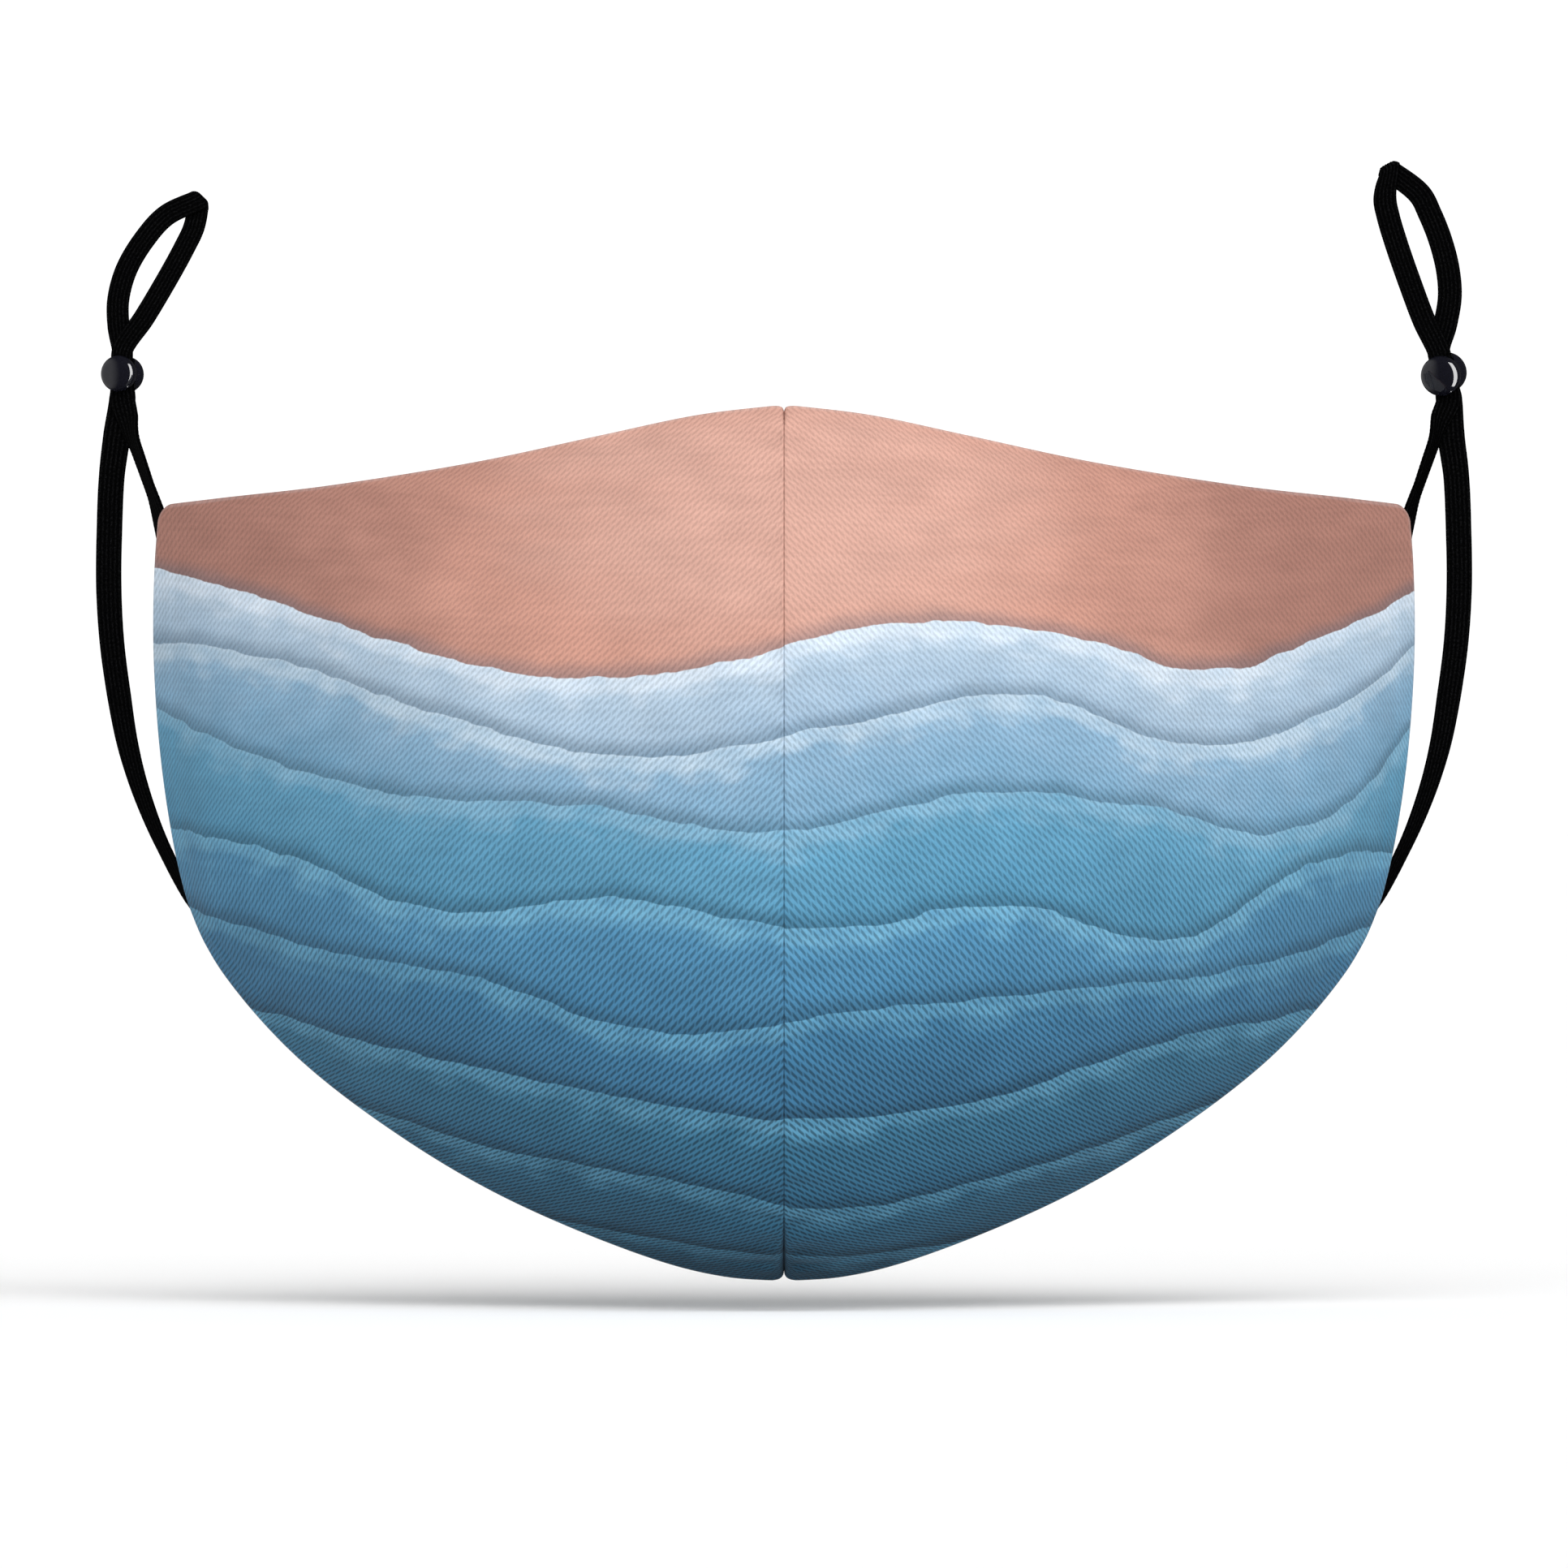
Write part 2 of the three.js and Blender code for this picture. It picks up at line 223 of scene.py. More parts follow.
# bakeMap has a place for each corner of each face, and vectors a row for each point.
def meshFrom(name, points, faces, materials, slots=None, bakeMap=None, vectors=None):
    mesh = bpy.data.meshes.new(name)
    mesh.from_pydata((np.array(points) * mm).tolist(), [], [list(map(int, face)) for face in faces])
    for material in materials:
        mesh.materials.append(material)
    if slots is not None:
        mesh.polygons.foreach_set("material_index", np.array(slots, np.int32))
    if bakeMap is not None:
        layer = mesh.uv_layers.new(name="OFBake")
        layer.data.foreach_set("uv", np.array(bakeMap, np.float32).ravel())
    for key, values in (vectors or {}).items():
        attribute = mesh.attributes.new(key, "FLOAT_VECTOR", "POINT")
        attribute.data.foreach_set("vector", np.array(values, np.float32).ravel())
    mesh.polygons.foreach_set("use_smooth", np.ones(len(mesh.polygons), bool))
    piece = bpy.data.objects.new(name, mesh)
    bpy.context.scene.collection.objects.link(piece)
    return piece


def faceOut(piece):
    work = bmesh.new()
    work.from_mesh(piece.data)
    bmesh.ops.recalc_face_normals(work, faces=work.faces)
    work.to_mesh(piece.data)
    work.free()


def joinFrame(piece, slot, *nodes):
    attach(piece, "root")
    if nodes:
        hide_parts(*nodes)


def srgb(red, green, blue):
    steps = [value / 255 for value in (red, green, blue)]
    return (*[v / 12.92 if v <= 0.04045 else ((v + 0.055) / 1.055) ** 2.4 for v in steps], 1)


def plainShader(name, colour, roughness, **fixed):
    material = bpy.data.materials.new(name)
    material.use_nodes = True
    shader = material.node_tree.nodes["Principled BSDF"]
    shader.inputs["Base Color"].default_value = colour
    shader.inputs["Roughness"].default_value = roughness
    for socket, value in fixed.items():
        shader.inputs[socket.replace("_", " ")].default_value = value
    return material, material.node_tree, shader


def feed(tree, socket, value):
    if isinstance(value, bpy.types.NodeSocket):
        tree.links.new(value, socket)
    else:
        socket.default_value = value


def reckon(tree, operation, *values):
    node = tree.nodes.new("ShaderNodeMath")
    node.operation = operation
    for socket, value in zip(node.inputs, values):
        feed(tree, socket, value)
    return node.outputs[0]


def ramped(tree, value, low, high, bottom=0.0, top=1.0):
    node = tree.nodes.new("ShaderNodeMapRange")
    node.interpolation_type = "SMOOTHSTEP"
    for socket, given in zip(node.inputs, (value, low, high, bottom, top)):
        feed(tree, socket, given)
    return node.outputs[0]


def blended(tree, share, first, second, way="MIX"):
    node = tree.nodes.new("ShaderNodeMix")
    node.data_type = "RGBA"
    node.blend_type = way
    feed(tree, node.inputs[0], share)
    feed(tree, node.inputs[6], first)
    feed(tree, node.inputs[7], second)
    return node.outputs[2]


def coloursAlong(tree, value, stops):
    node = tree.nodes.new("ShaderNodeValToRGB")
    feed(tree, node.inputs[0], value)
    elements = node.color_ramp.elements
    while len(elements) < len(stops):
        elements.new(0.5)
    for element, (place, colour) in zip(elements, stops):
        element.position = place
        element.color = colour
    return node.outputs[0]


def drawnCurve(tree, value, points):
    node = tree.nodes.new("ShaderNodeFloatCurve")
    curve = node.mapping.curves[0]
    while len(curve.points) < len(points):
        curve.points.new(0.5, 0.5)
    for point, place in zip(curve.points, points):
        point.location = place
    node.mapping.update()
    feed(tree, node.inputs["Value"], value)
    return node.outputs[0]


# Soft noise between 0 and 1 over two coordinates in millimetres, with its own grain each way.
def grain(tree, across, up, grainAcross, grainUp, detail=2.0, layer=0.0):
    place = tree.nodes.new("ShaderNodeCombineXYZ")
    feed(tree, place.inputs[0], reckon(tree, "DIVIDE", across, grainAcross))
    feed(tree, place.inputs[1], reckon(tree, "DIVIDE", up, grainUp))
    feed(tree, place.inputs[2], layer)
    node = tree.nodes.new("ShaderNodeTexNoise")
    tree.links.new(place.outputs[0], node.inputs["Vector"])
    node.inputs["Scale"].default_value = 1
    node.inputs["Detail"].default_value = detail
    return node.outputs[0]


def placeOn(tree, name):
    attribute = tree.nodes.new("ShaderNodeAttribute")
    attribute.attribute_name = name
    split = tree.nodes.new("ShaderNodeSeparateXYZ")
    tree.links.new(attribute.outputs["Vector"], split.inputs[0])
    return split.outputs


def bumpFrom(tree, shader, height, depth, strength=1.0):
    node = tree.nodes.new("ShaderNodeBump")
    node.inputs["Strength"].default_value = strength
    node.inputs["Distance"].default_value = depth * mm
    feed(tree, node.inputs["Height"], height)
    tree.links.new(node.outputs["Normal"], shader.inputs["Normal"])


# Cords: each runs from the lower corner of its panel up through its bead, round a small tail
# loop, back through the bead in front of itself and down to the upper corner.
beadPlaces = {  # the middle of the bead, and its slot's and its face's turns in degrees
    "left": {"diameter": 6, "thickness": 6.4, "out": 109.6, "back": 25, "up": 77.4,
             "lean": 2, "roll": 0, "turn": 21},
    "right": {"diameter": 6.7, "thickness": 7, "out": 109.3, "back": 25, "up": 77.4,
              "lean": -7, "roll": 13, "turn": 20},
}
loopLean = math.radians(10)  # of the tail loops, backwards towards the top
beadPassing = 3.8  # how far the strands run straight past the bead's middle
strandOffset = 0.75

lowerStrand = [  # out, back, up
    (93.9, -1.2, -12.4), (97, 2.1, -10), (102, 3.5, -1), (105.6, 5.6, 7.6), (108, 7.8, 15.6),
    (109.6, 10.2, 24), (110.9, 12.8, 33.1), (111.5, 15.4, 42.2), (111.5, 18.2, 51.3),
    (111.2, 20.7, 60.4), (110.4, 23.2, 67.4),
]
upperStrand = [  # out, back, up
    (108.4, 22.2, 69.4), (107.2, 17.8, 65.5), (105.8, 13.4, 61.8), (104.3, 8.6, 57.8),
    (102.9, 4.1, 53.7), (101.8, 1.7, 50), (101, 0.8, 46.8), (99.6, -1.5, 43.6),
]
risingStrand = {  # out, up, and from 1 in the rear strand's plane to -1 in the front strand's
    "left": [
        (110.3, 85.2, 1), (110.4, 89.7, 1), (109.1, 94.7, 0.6), (106.2, 99.7, 0),
        (102.5, 103.8, -0.5),
    ],
    "right": [
        (109.6, 85.6, 1), (110.4, 90.3, 1), (110.1, 94.8, 1), (108.9, 99.7, 1),
        (107.2, 104.1, 1), (105.5, 107.4, 1),
    ],
}
fallingStrand = {  # out, up and plane, as the rising strand
    "left": [(97.9, 101.9, 0.7), (99.5, 98.4, 0.5), (102.1, 93.5, -0.5), (106, 86.8, -1)],
    "right": [
        (99.7, 106.6, -0.7), (100.2, 103.7, -0.9), (101.5, 99.2, -1), (103.7, 92.7, -1),
        (106.1, 86.2, -1),
    ],
}
# At the top of its loop the flat ribbon folds over a slanting crease. The slope is up per out.
creases = {
    "left": {"out": 96.7, "up": 106.7, "slope": 0.96, "firstInFront": True},
    "right": {"out": 100.2, "up": 112, "slope": 0.55, "firstInFront": False},
}


def beadTurn(side):
    lean, roll = (math.radians(beadPlaces[side][key]) for key in ("lean", "roll"))
    return Euler((-lean, -outward[side] * roll, 0)).to_matrix()


def beadMiddle(side):
    place = beadPlaces[side]
    return Vector((outward[side] * place["out"], place["back"], place["up"]))


def inSlot(side, along, behind):
    return beadTurn(side) @ Vector((0, behind, along)) + beadMiddle(side)


loopFront = np.array((0, -math.cos(loopLean), math.sin(loopLean)))


# A place in the leaning plane of the tail loop, or so far behind it.
def onLoop(side, out, up, behind=0.0):
    place = beadPlaces[side]
    leaning = (up - place["up"]) * math.tan(loopLean)
    return np.array((outward[side] * out, place["back"] + leaning + behind, up))


def loopPoints(side, rows):
    return [onLoop(side, out, up, strandOffset * plane) for out, up, plane in rows]


def slotPoints(side, places, behind):
    return [np.array(inSlot(side, along, behind)) for along in places]


def worldPoints(side, rows):
    return [np.array((outward[side] * out, back, up)) for out, back, up in rows]


# The share of the line at which each point of its route lies, sought from the last one on.
def routeShares(route, length, at, fine=8000):
    shares = np.linspace(0, 1, fine + 1)
    line = at(shares)
    found = [0]
    for last, point in zip(route, route[1:]):
        reach = int(fine * 2 * np.linalg.norm(point - last) / length) + 2
        stretch = line[found[-1] : found[-1] + reach]
        found.append(found[-1] + int(np.argmin(np.linalg.norm(stretch - point, axis=1))))
    return shares[found]


cordLook = {
    "ringStep": 0.25,
    "thickness": 1.0,
    "acrossSteps": 36,
    "wales": 6,  # knitted ribs across the ribbon
    "waleHeight": 0.08,
    "stitch": 1.1,  # length of one knitted loop
    "stitchHeight": 0.06,
    "stitchSlant": 0.9,
    "turnSmoothing": 5,
    "widthSmoothing": 1.6,
    "creaseRadius": 0.56,
    "creaseReach": 3.5,
    "creasePinch": 0.3,  # share of its width that the ribbon loses over the crease
    "creaseSteps": 12,
    "width": 3.9,
    "black": (0.0012, 0.0012, 0.0013, 1),
}


# Widths of the ribbon past its bead and along its tail loop, measured square to each strand. The
# strands meet the crease at a slant, so it is longer than foldStart and foldEnd.
loopWidths = {
    "left": {"over": 3.5, "rising": 3.7, "falling": 3.6, "foldStart": 3.6, "foldEnd": 3.6},
    "right": {"over": 3.8, "rising": 4.0, "falling": 3.9, "foldStart": 3.8, "foldEnd": 3.1},
}


# The ribbon's width along each strand, and the way that its flat side faces, at points counted
# from the strand's start.
def ribbonSettings(side):
    way = outward[side]
    front = tuple(beadTurn(side) @ Vector((0, -1, 0)))
    loop = tuple(loopFront)
    upperEnd = (0.73 * way, -0.68, 0.12)
    bead = len(lowerStrand)
    crease = bead + 3 + len(risingStrand[side])
    slot = 1 + len(fallingStrand[side])
    end = slot + 3 + len(upperStrand) - 1
    widths = loopWidths[side]
    first = [
        (0, 3.2, (0.84 * way, -0.5, -0.25)), (1, 2.9, (0.75 * way, -0.64, -0.17)),
        (2, 3.0, (0.72 * way, -0.68, -0.1)), (3, 3.4, (0.55 * way, -0.83, 0)),
        (4, 3.7, (0.3 * way, -0.94, 0.1)), (5, 4.0, (0.1 * way, -0.97, 0.2)),
        (7, 4.25, (0.06 * way, -0.98, 0.1)),
        (bead - 2, 4.3, front), (bead - 1, 4.6, front), (bead, 4.4, front),
        (bead + 1, 3.1, front), (bead + 2, widths["over"], front),
        (bead + 3, widths["rising"], loop), (crease - 1, widths["rising"], loop),
        (crease, widths["foldStart"], loop),
    ]
    second = [
        (0, widths["foldEnd"], loop), (1, widths["falling"], loop),
        (slot - 1, widths["falling"], loop), (slot, widths["over"], front),
        (slot + 1, 3.1, front), (slot + 2, 4.2, front), (slot + 4, 3.8, (0.95 * way, -0.3, 0.05)),
        (end - 4, 3.8, (0.97 * way, -0.2, 0)), (end - 2, 3.8, upperEnd), (end, 3.8, upperEnd),
    ]
    return first, second


def smoothed(values, width):
    width = max(int(width), 1)
    padded = np.concatenate([np.repeat(values[:1], width), values, np.repeat(values[-1:], width)])
    kernel = np.hanning(width + 2)[1:-1]
    return np.convolve(padded, kernel / kernel.sum(), "same")[width:-width]


def strandRings(route, settings):
    length, at = lineThrough(route)
    shares = routeShares(route, length, at)
    keys = [shares[k] for k, _, _ in settings]
    ring = np.linspace(0, 1, int(length / cordLook["ringStep"]) + 1)
    middle = at(ring)
    along = unit(np.gradient(middle, axis=0))
    step = cordLook["ringStep"]
    width = np.interp(ring, keys, [w for _, w, _ in settings])
    width = smoothed(width, cordLook["widthSmoothing"] / step)
    wide = cordLook["turnSmoothing"] / step
    facing = [smoothed(np.interp(ring, keys, [f[k] for _, _, f in settings]), wide) for k in range(3)]
    facing = np.stack(facing, -1)
    facing = unit(facing - along * np.sum(facing * along, axis=1, keepdims=True))
    return {"middle": middle, "along": along, "width": width, "facing": facing}


# Turns the last rings of a strand until they lie along the crease, keeping its edges straight.
def skewToCrease(strand, crease):
    square = np.cross(strand["along"], strand["facing"])
    left = np.linalg.norm(strand["middle"] - strand["middle"][-1], axis=1)
    share = ease(1 - left / cordLook["creaseReach"])
    share[: len(share) // 2] = 0
    crease = crease * np.sign(np.dot(square[-1], crease))
    across = unit(square * (1 - share[:, None]) + crease * share[:, None])
    strand["across"] = across
    strand["width"] = strand["width"] / np.sum(across * square, axis=1)


def turnBack(strand):
    return {key: values[::-1] for key, values in strand.items()}


# The half turn round the crease, from the last ring of one strand to the first of the other.
def foldRings(first, second, centre, sign, over):
    angles = np.linspace(0, math.pi, cordLook["creaseSteps"] + 1)[1:-1, None]
    radial = sign * loopFront * np.cos(angles) + over * np.sin(angles)
    share = angles / math.pi
    pinch = 1 - cordLook["creasePinch"] * np.sin(angles) ** 2
    return {
        "middle": centre + radial * cordLook["creaseRadius"],
        "facing": radial * sign,
        "across": unit(first["across"][-1] * (1 - share) + second["across"][0] * share),
        "width": ((first["width"][-1] * (1 - share) + second["width"][0] * share) * pinch)[:, 0],
    }


# Rings of the whole ribbon: up one strand, over the crease, and down the other strand with its
# other side to the front.
def ribbonRings(side):
    crease = creases[side]
    top = onLoop(side, crease["out"], crease["up"])
    line = unit(onLoop(side, crease["out"] + 1, crease["up"] + crease["slope"]) - top)
    over = np.cross(line, loopFront)
    over = over * np.sign(over[2])
    sign = 1 if crease["firstInFront"] else -1
    centre = top - over * cordLook["creaseRadius"]
    forward = loopFront * sign * cordLook["creaseRadius"]
    firstRoute = [
        *worldPoints(side, lowerStrand),
        *slotPoints(side, (-beadPassing, 0, beadPassing), strandOffset),
        *loopPoints(side, risingStrand[side]), centre + forward,
    ]
    secondRoute = [
        centre - forward, *loopPoints(side, fallingStrand[side]),
        *slotPoints(side, (beadPassing, 0, -beadPassing), -strandOffset),
        *worldPoints(side, upperStrand),
    ]
    firstSettings, secondSettings = ribbonSettings(side)
    first = strandRings(firstRoute, firstSettings)
    skewToCrease(first, line)
    second = strandRings(secondRoute, secondSettings)
    second["facing"] = -second["facing"]
    second = turnBack(second)
    skewToCrease(second, line)
    second = turnBack(second)
    fold = foldRings(first, second, centre, sign, over)
    rings = {key: np.concatenate([first[key], fold[key], second[key]]) for key in fold}
    rings["run"] = runAlong(rings["middle"])
    rings["length"] = rings["run"][-1]
    return rings


def addCord(side, material):
    look = cordLook
    rings = ribbonRings(side)
    flat = np.linspace(-1, 1, look["acrossSteps"] + 1)
    place = np.concatenate([flat, flat[-2:0:-1]])  # over the front face, and back behind it
    sign = np.concatenate([np.ones(len(flat)), -np.ones(len(flat) - 2)])
    body = np.sqrt(1 - np.abs(place) ** 5)
    wale = (place + 1) / 2 * look["wales"]
    crown = np.abs(np.sin(math.pi * wale))
    fromMiddle = np.abs(wale - np.floor(wale) - 0.5)
    phase = rings["run"][:, None] / look["stitch"] + look["stitchSlant"] * fromMiddle * sign
    loops = (np.cos(2 * math.pi * phase) - 1) / 2
    lift = look["waleHeight"] * (crown - 1) + look["stitchHeight"] * loops * crown
    height = sign * body * (look["thickness"] / 2 + lift)
    sideways = place * rings["width"][:, None] / 2
    points = rings["middle"][:, None] + rings["across"][:, None] * sideways[..., None]
    points = points + rings["facing"][:, None] * height[..., None]
    faces = tubeFaces(np.arange(height.size).reshape(height.shape))
    knit = np.broadcast_arrays(place * look["width"] / 2, rings["run"][:, None], sign)
    cord = meshFrom("elastic_" + side, points.reshape(-1, 3), faces, [material],
                    vectors={"knit": np.stack(knit, -1).reshape(-1, 3)})
    faceOut(cord)
    joinFrame(cord, "elastic", "ear_cord_" + side)
    return cord, rings


def knitMaterial():
    look = cordLook
    material, tree, shader = plainShader("knitted elastic", look["black"], 0.8,
                                         Specular_IOR_Level=0.02)
    across, along, _ = placeOn(tree, "knit")
    fibre = grain(tree, across, along, 0.25, 0.4, 3.0)
    # Painted shade and light: the valleys between the knitted wales are darker and their crowns lighter,
    # over a random fibre grain.
    turn = reckon(tree, "MULTIPLY", across, 2 * math.pi * look["wales"] / look["width"])
    shade = reckon(tree, "MULTIPLY_ADD", reckon(tree, "COSINE", turn), -0.14, fibre)
    colour = coloursAlong(tree, shade, [
        (0.3, (0.0004, 0.0004, 0.0005, 1)), (0.55, look["black"]), (0.85, (0.006, 0.006, 0.0065, 1)),
    ])
    tree.links.new(colour, shader.inputs["Base Color"])
    bumpFrom(tree, shader, fibre, 0.1, 0.6)
    return material


# Beads: a thick round slider of two domed lobes with a groove between, slotted from rim to rim.
beadLook = {
    "profile": [  # from the groove: shares of the half thickness and of the radius
        (0, 0.87), (0.1, 0.885), (0.26, 0.955), (0.42, 0.99), (0.56, 1), (0.7, 0.97),
        (0.82, 0.87), (0.91, 0.69), (0.97, 0.42), (0.995, 0.18), (1, 0),
    ],
    "profileSteps": 90,
    "segments": 128,
    "slot": (4.3, 3.0, 9),  # wide, deep, and long enough to pass right through
    "slotRounding": 0.45,
    "sharpFrom": 40,  # degrees
    "black": (0.005, 0.005, 0.0085, 1),
}


def bodyFrom(name, work):
    mesh = bpy.data.meshes.new(name)
    work.to_mesh(mesh)
    work.free()
    body = bpy.data.objects.new(name, mesh)
    bpy.context.scene.collection.objects.link(body)
    return body


def latheBody(name, outline, segments):
    angles = np.linspace(0, 2 * math.pi, segments, endpoint=False)
    work = bmesh.new()
    rings = []
    for radius, along in outline:
        around = angles if radius > 0 else angles[:1]
        places = [(radius * math.cos(a), along, radius * math.sin(a)) for a in around]
        rings.append([work.verts.new(place) for place in places])
    for first, second in zip(rings, rings[1:]):
        for k in range(segments):
            corners = [ring[(k + step) % len(ring)]
                       for ring, step in ((first, 0), (first, 1), (second, 1), (second, 0))]
            work.faces.new(list(dict.fromkeys(corners)))
    bmesh.ops.recalc_face_normals(work, faces=work.faces)
    return bodyFrom(name, work)


def roundedBar(size, rounding):
    work = bmesh.new()
    bmesh.ops.create_cube(work, size=1, matrix=Matrix.Diagonal((*size, 1)))
    upright = [edge for edge in work.edges if abs(edge.verts[0].co.z - edge.verts[1].co.z) > 1]
    bmesh.ops.bevel(work, geom=upright, offset=rounding, segments=5, profile=0.5, affect="EDGES")
    return bodyFrom("slot", work)


def cutAway(body, tool):
    change = body.modifiers.new("slot", "BOOLEAN")
    change.operation = "DIFFERENCE"
    change.solver = "EXACT"
    change.object = tool
    cut = body.evaluated_get(bpy.context.evaluated_depsgraph_get())
    mesh = bpy.data.meshes.new_from_object(cut)
    body.modifiers.clear()
    body.data = mesh
    bpy.data.objects.remove(tool)


def addBead(side, material):
    look = beadLook
    half, radius = beadPlaces[side]["thickness"] / 2, beadPlaces[side]["diameter"] / 2
    lobe = [(share * radius, along * half, 0) for along, share in look["profile"]]
    _, at = lineThrough([(out, -along, 0) for out, along, _ in lobe[:0:-1]] + lobe)
    outline = at(np.linspace(0, 1, look["profileSteps"] + 1))[:, :2]
    outline[[0, -1], 0] = 0
    bead = latheBody("slider_bead_" + side, outline, look["segments"])
    bead.data.transform(Matrix.Rotation(-math.radians(beadPlaces[side]["turn"]), 4, "Z"))
    cutAway(bead, roundedBar(look["slot"], look["slotRounding"]))
    places = Matrix.Translation(beadMiddle(side)) @ beadTurn(side).to_4x4()
    bead.data.transform(Matrix.Scale(mm, 4) @ places)
    bead.data.materials.clear()
    bead.data.materials.append(material)
    bead.data.polygons.foreach_set("use_smooth", np.ones(len(bead.data.polygons), bool))
    bead.data.set_sharp_from_angle(angle=math.radians(look["sharpFrom"]))
    joinFrame(bead, "bead_plastic", "bead_" + side)
    glossyBeads.objects.link(bead)
    return bead


def beadMaterial():
    material, tree, shader = plainShader("slider bead plastic", beadLook["black"], 0.14,
                                         Specular_IOR_Level=0.45)
    place = tree.nodes.new("ShaderNodeTexCoord").outputs["Object"]
    smears = tree.nodes.new("ShaderNodeTexNoise")
    smears.inputs["Scale"].default_value = 300
    smears.inputs["Detail"].default_value = 3
    tree.links.new(place, smears.inputs["Vector"])
    tree.links.new(ramped(tree, smears.outputs[0], 0.3, 0.75, 0.05, 0.1), shader.inputs["Roughness"])
    bumpFrom(tree, shader, smears.outputs[0], 0.01, 0.15)
    return material


# Panels: the face is a smooth patch between four edges. At the seam it folds back into a narrow
# allowance, and every free edge is a rounded, turned rim.
topEdge = [  # out, forward, up, from the seam to the side
    (0, 47, 71.1), (13.8, 44.4, 69.5), (29.6, 39.6, 66.3), (49.5, 32, 62.2), (74.5, 19.8, 58.4),
    (91.7, 9.2, 56.6), (102.9, 0, 55.4),
]
bottomEdge = [  # out, forward, up, from the seam to the side
    (0, 30, -71.5), (9.6, 29.8, -70.8), (20.8, 28.9, -68.1), (44.6, 25.2, -58.5),
    (62.6, 19.6, -48.2), (79.9, 11.6, -35.2), (91.8, 4.4, -22), (97.4, 0, -12.5),
]
seamLine = [  # out, forward, up, from the bottom to the top
    (0, 30, -71.5), (0, 44, -63.9), (0, 55.5, -50.6), (0, 64.5, -30.3), (0, 69, -7.6),
    (0, 69, 13.9), (0, 65, 36.4), (0, 57.5, 54.6), (0, 47, 71.1),
]
sideEdge = [  # out, forward, up, from the lower corner to the upper one
    (97.4, 0, -12.5), (100.2, 0.9, -1), (102.5, 1.4, 14), (103.7, 1.4, 31), (103.6, 0.8, 45),
    (102.9, 0, 55.4),
]
panelLook = {
    "thickness": 1.3,
    "rim": 0.65,
    "rimSteps": 6,
    "topCorner": 3.1,
    "bottomCorner": 5.5,
    "foldLeg": 1.8,  # where the outer face starts to turn into the seam, at the seam's foot
    "topLeg": 1.5,  # at its top
    "middleLeg": 0.45,  # and between them
    "legStart": 5,  # where it starts to shorten, from the seam's foot (at the top, at once)
    "legReach": (24, 4),  # and over what length it does so, at the foot and at the top
    "innerLeg": 1.15,  # more than the outer face's
    "innerCorner": 1.66,
    "foldSteps": 8,
    "allowance": 3.5,
    "allowanceSteps": 5,
    "fullForward": 5.5,  # how far the cheek swells forward
    "fullOut": 1.5,  # and outwards
    "cell": 0.8,  # size of the mesh's cells across the cloth
    "fineCell": 0.4,  # and near its edges and seam
    "fineBand": 7,
    "rowCell": 1.1,  # their size up the cloth
    "turning": 5.5,  # width of the cloth turned in along the free edges
    "turningStep": 0.12,
    "phase": {"left": 0.7, "right": 2.9},  # where the waves and puckers start
    "pucker": 0.22,
    "puckerPitch": 6.5,
    "puckerReach": 7,
    "softness": 0.35,
}


def edgeLine(rows):
    return lineThrough([(out, -forward, up) for out, forward, up in rows])


topLength, topAt = edgeLine(topEdge)
bottomLength, bottomAt = edgeLine(bottomEdge)
seamLength, seamAt = edgeLine(seamLine)
sideLength, sideAt = edgeLine(sideEdge)


def facePoint(across, up):
    across, up = np.broadcast_arrays(across, up)
    a, u = across[..., None], up[..., None]
    point = bottomAt(across) * (1 - u) + topAt(across) * u + seamAt(up) * (1 - a) + sideAt(up) * a
    point -= (1 - u) * ((1 - a) * bottomAt(0) + a * bottomAt(1))
    point -= u * ((1 - a) * topAt(0) + a * topAt(1))
    full = np.sin(math.pi * across) * np.sin(math.pi * up)
    point[..., 0] += full * panelLook["fullOut"]
    point[..., 1] -= full * panelLook["fullForward"]
    return point


def slopes(across, up, step=0.002):
    lowA, highA = np.clip(across - step, 0, 1), np.clip(across + step, 0, 1)
    lowU, highU = np.clip(up - step, 0, 1), np.clip(up + step, 0, 1)
    alongA = (facePoint(highA, up) - facePoint(lowA, up)) / (highA - lowA)[..., None]
    alongU = (facePoint(across, highU) - facePoint(across, lowU)) / (highU - lowU)[..., None]
    return alongA, alongU


def faceNormal(across, up):
    alongA, alongU = slopes(across, up)
    return unit(np.cross(alongA, alongU))


def stretchAt(across, up, way):
    return np.linalg.norm(slopes(across, up)[way], axis=-1)


# Bends the two outer corners of the unit square into arcs.
def roundCorners(p, q):
    for radius, up, length in (
        (panelLook["topCorner"], 1, topLength), (panelLook["bottomCorner"], 0, bottomLength)
    ):
        radius -= panelLook["rim"]
        x = 1 - (1 - p) * length / radius
        y = 1 - np.abs(up - q) * sideLength / radius
        inside = (x > 0) & (y > 0)
        bentX = x * np.sqrt(np.clip(1 - y**2 / 2, 0, 1))
        bentY = y * np.sqrt(np.clip(1 - x**2 / 2, 0, 1))
        p = np.where(inside, 1 - (1 - bentX) * radius / length, p)
        q = np.where(inside, np.abs(up - (1 - bentY) * radius / sideLength), q)
    return p, q


# From shares of the flat face to shares of the patch, clear of the seam's fold and of the rims.
def insetPlace(p, q, leg):
    p, q = roundCorners(*np.broadcast_arrays(p, q))
    rim = panelLook["rim"]
    low = rim / stretchAt(p, np.zeros_like(q), 1)
    high = rim / stretchAt(p, np.ones_like(q), 1)
    up = low + (1 - low - high) * q
    start = leg / stretchAt(np.zeros_like(up), up, 0)
    end = rim / stretchAt(np.ones_like(up), up, 0)
    return start + (1 - start - end) * p, up


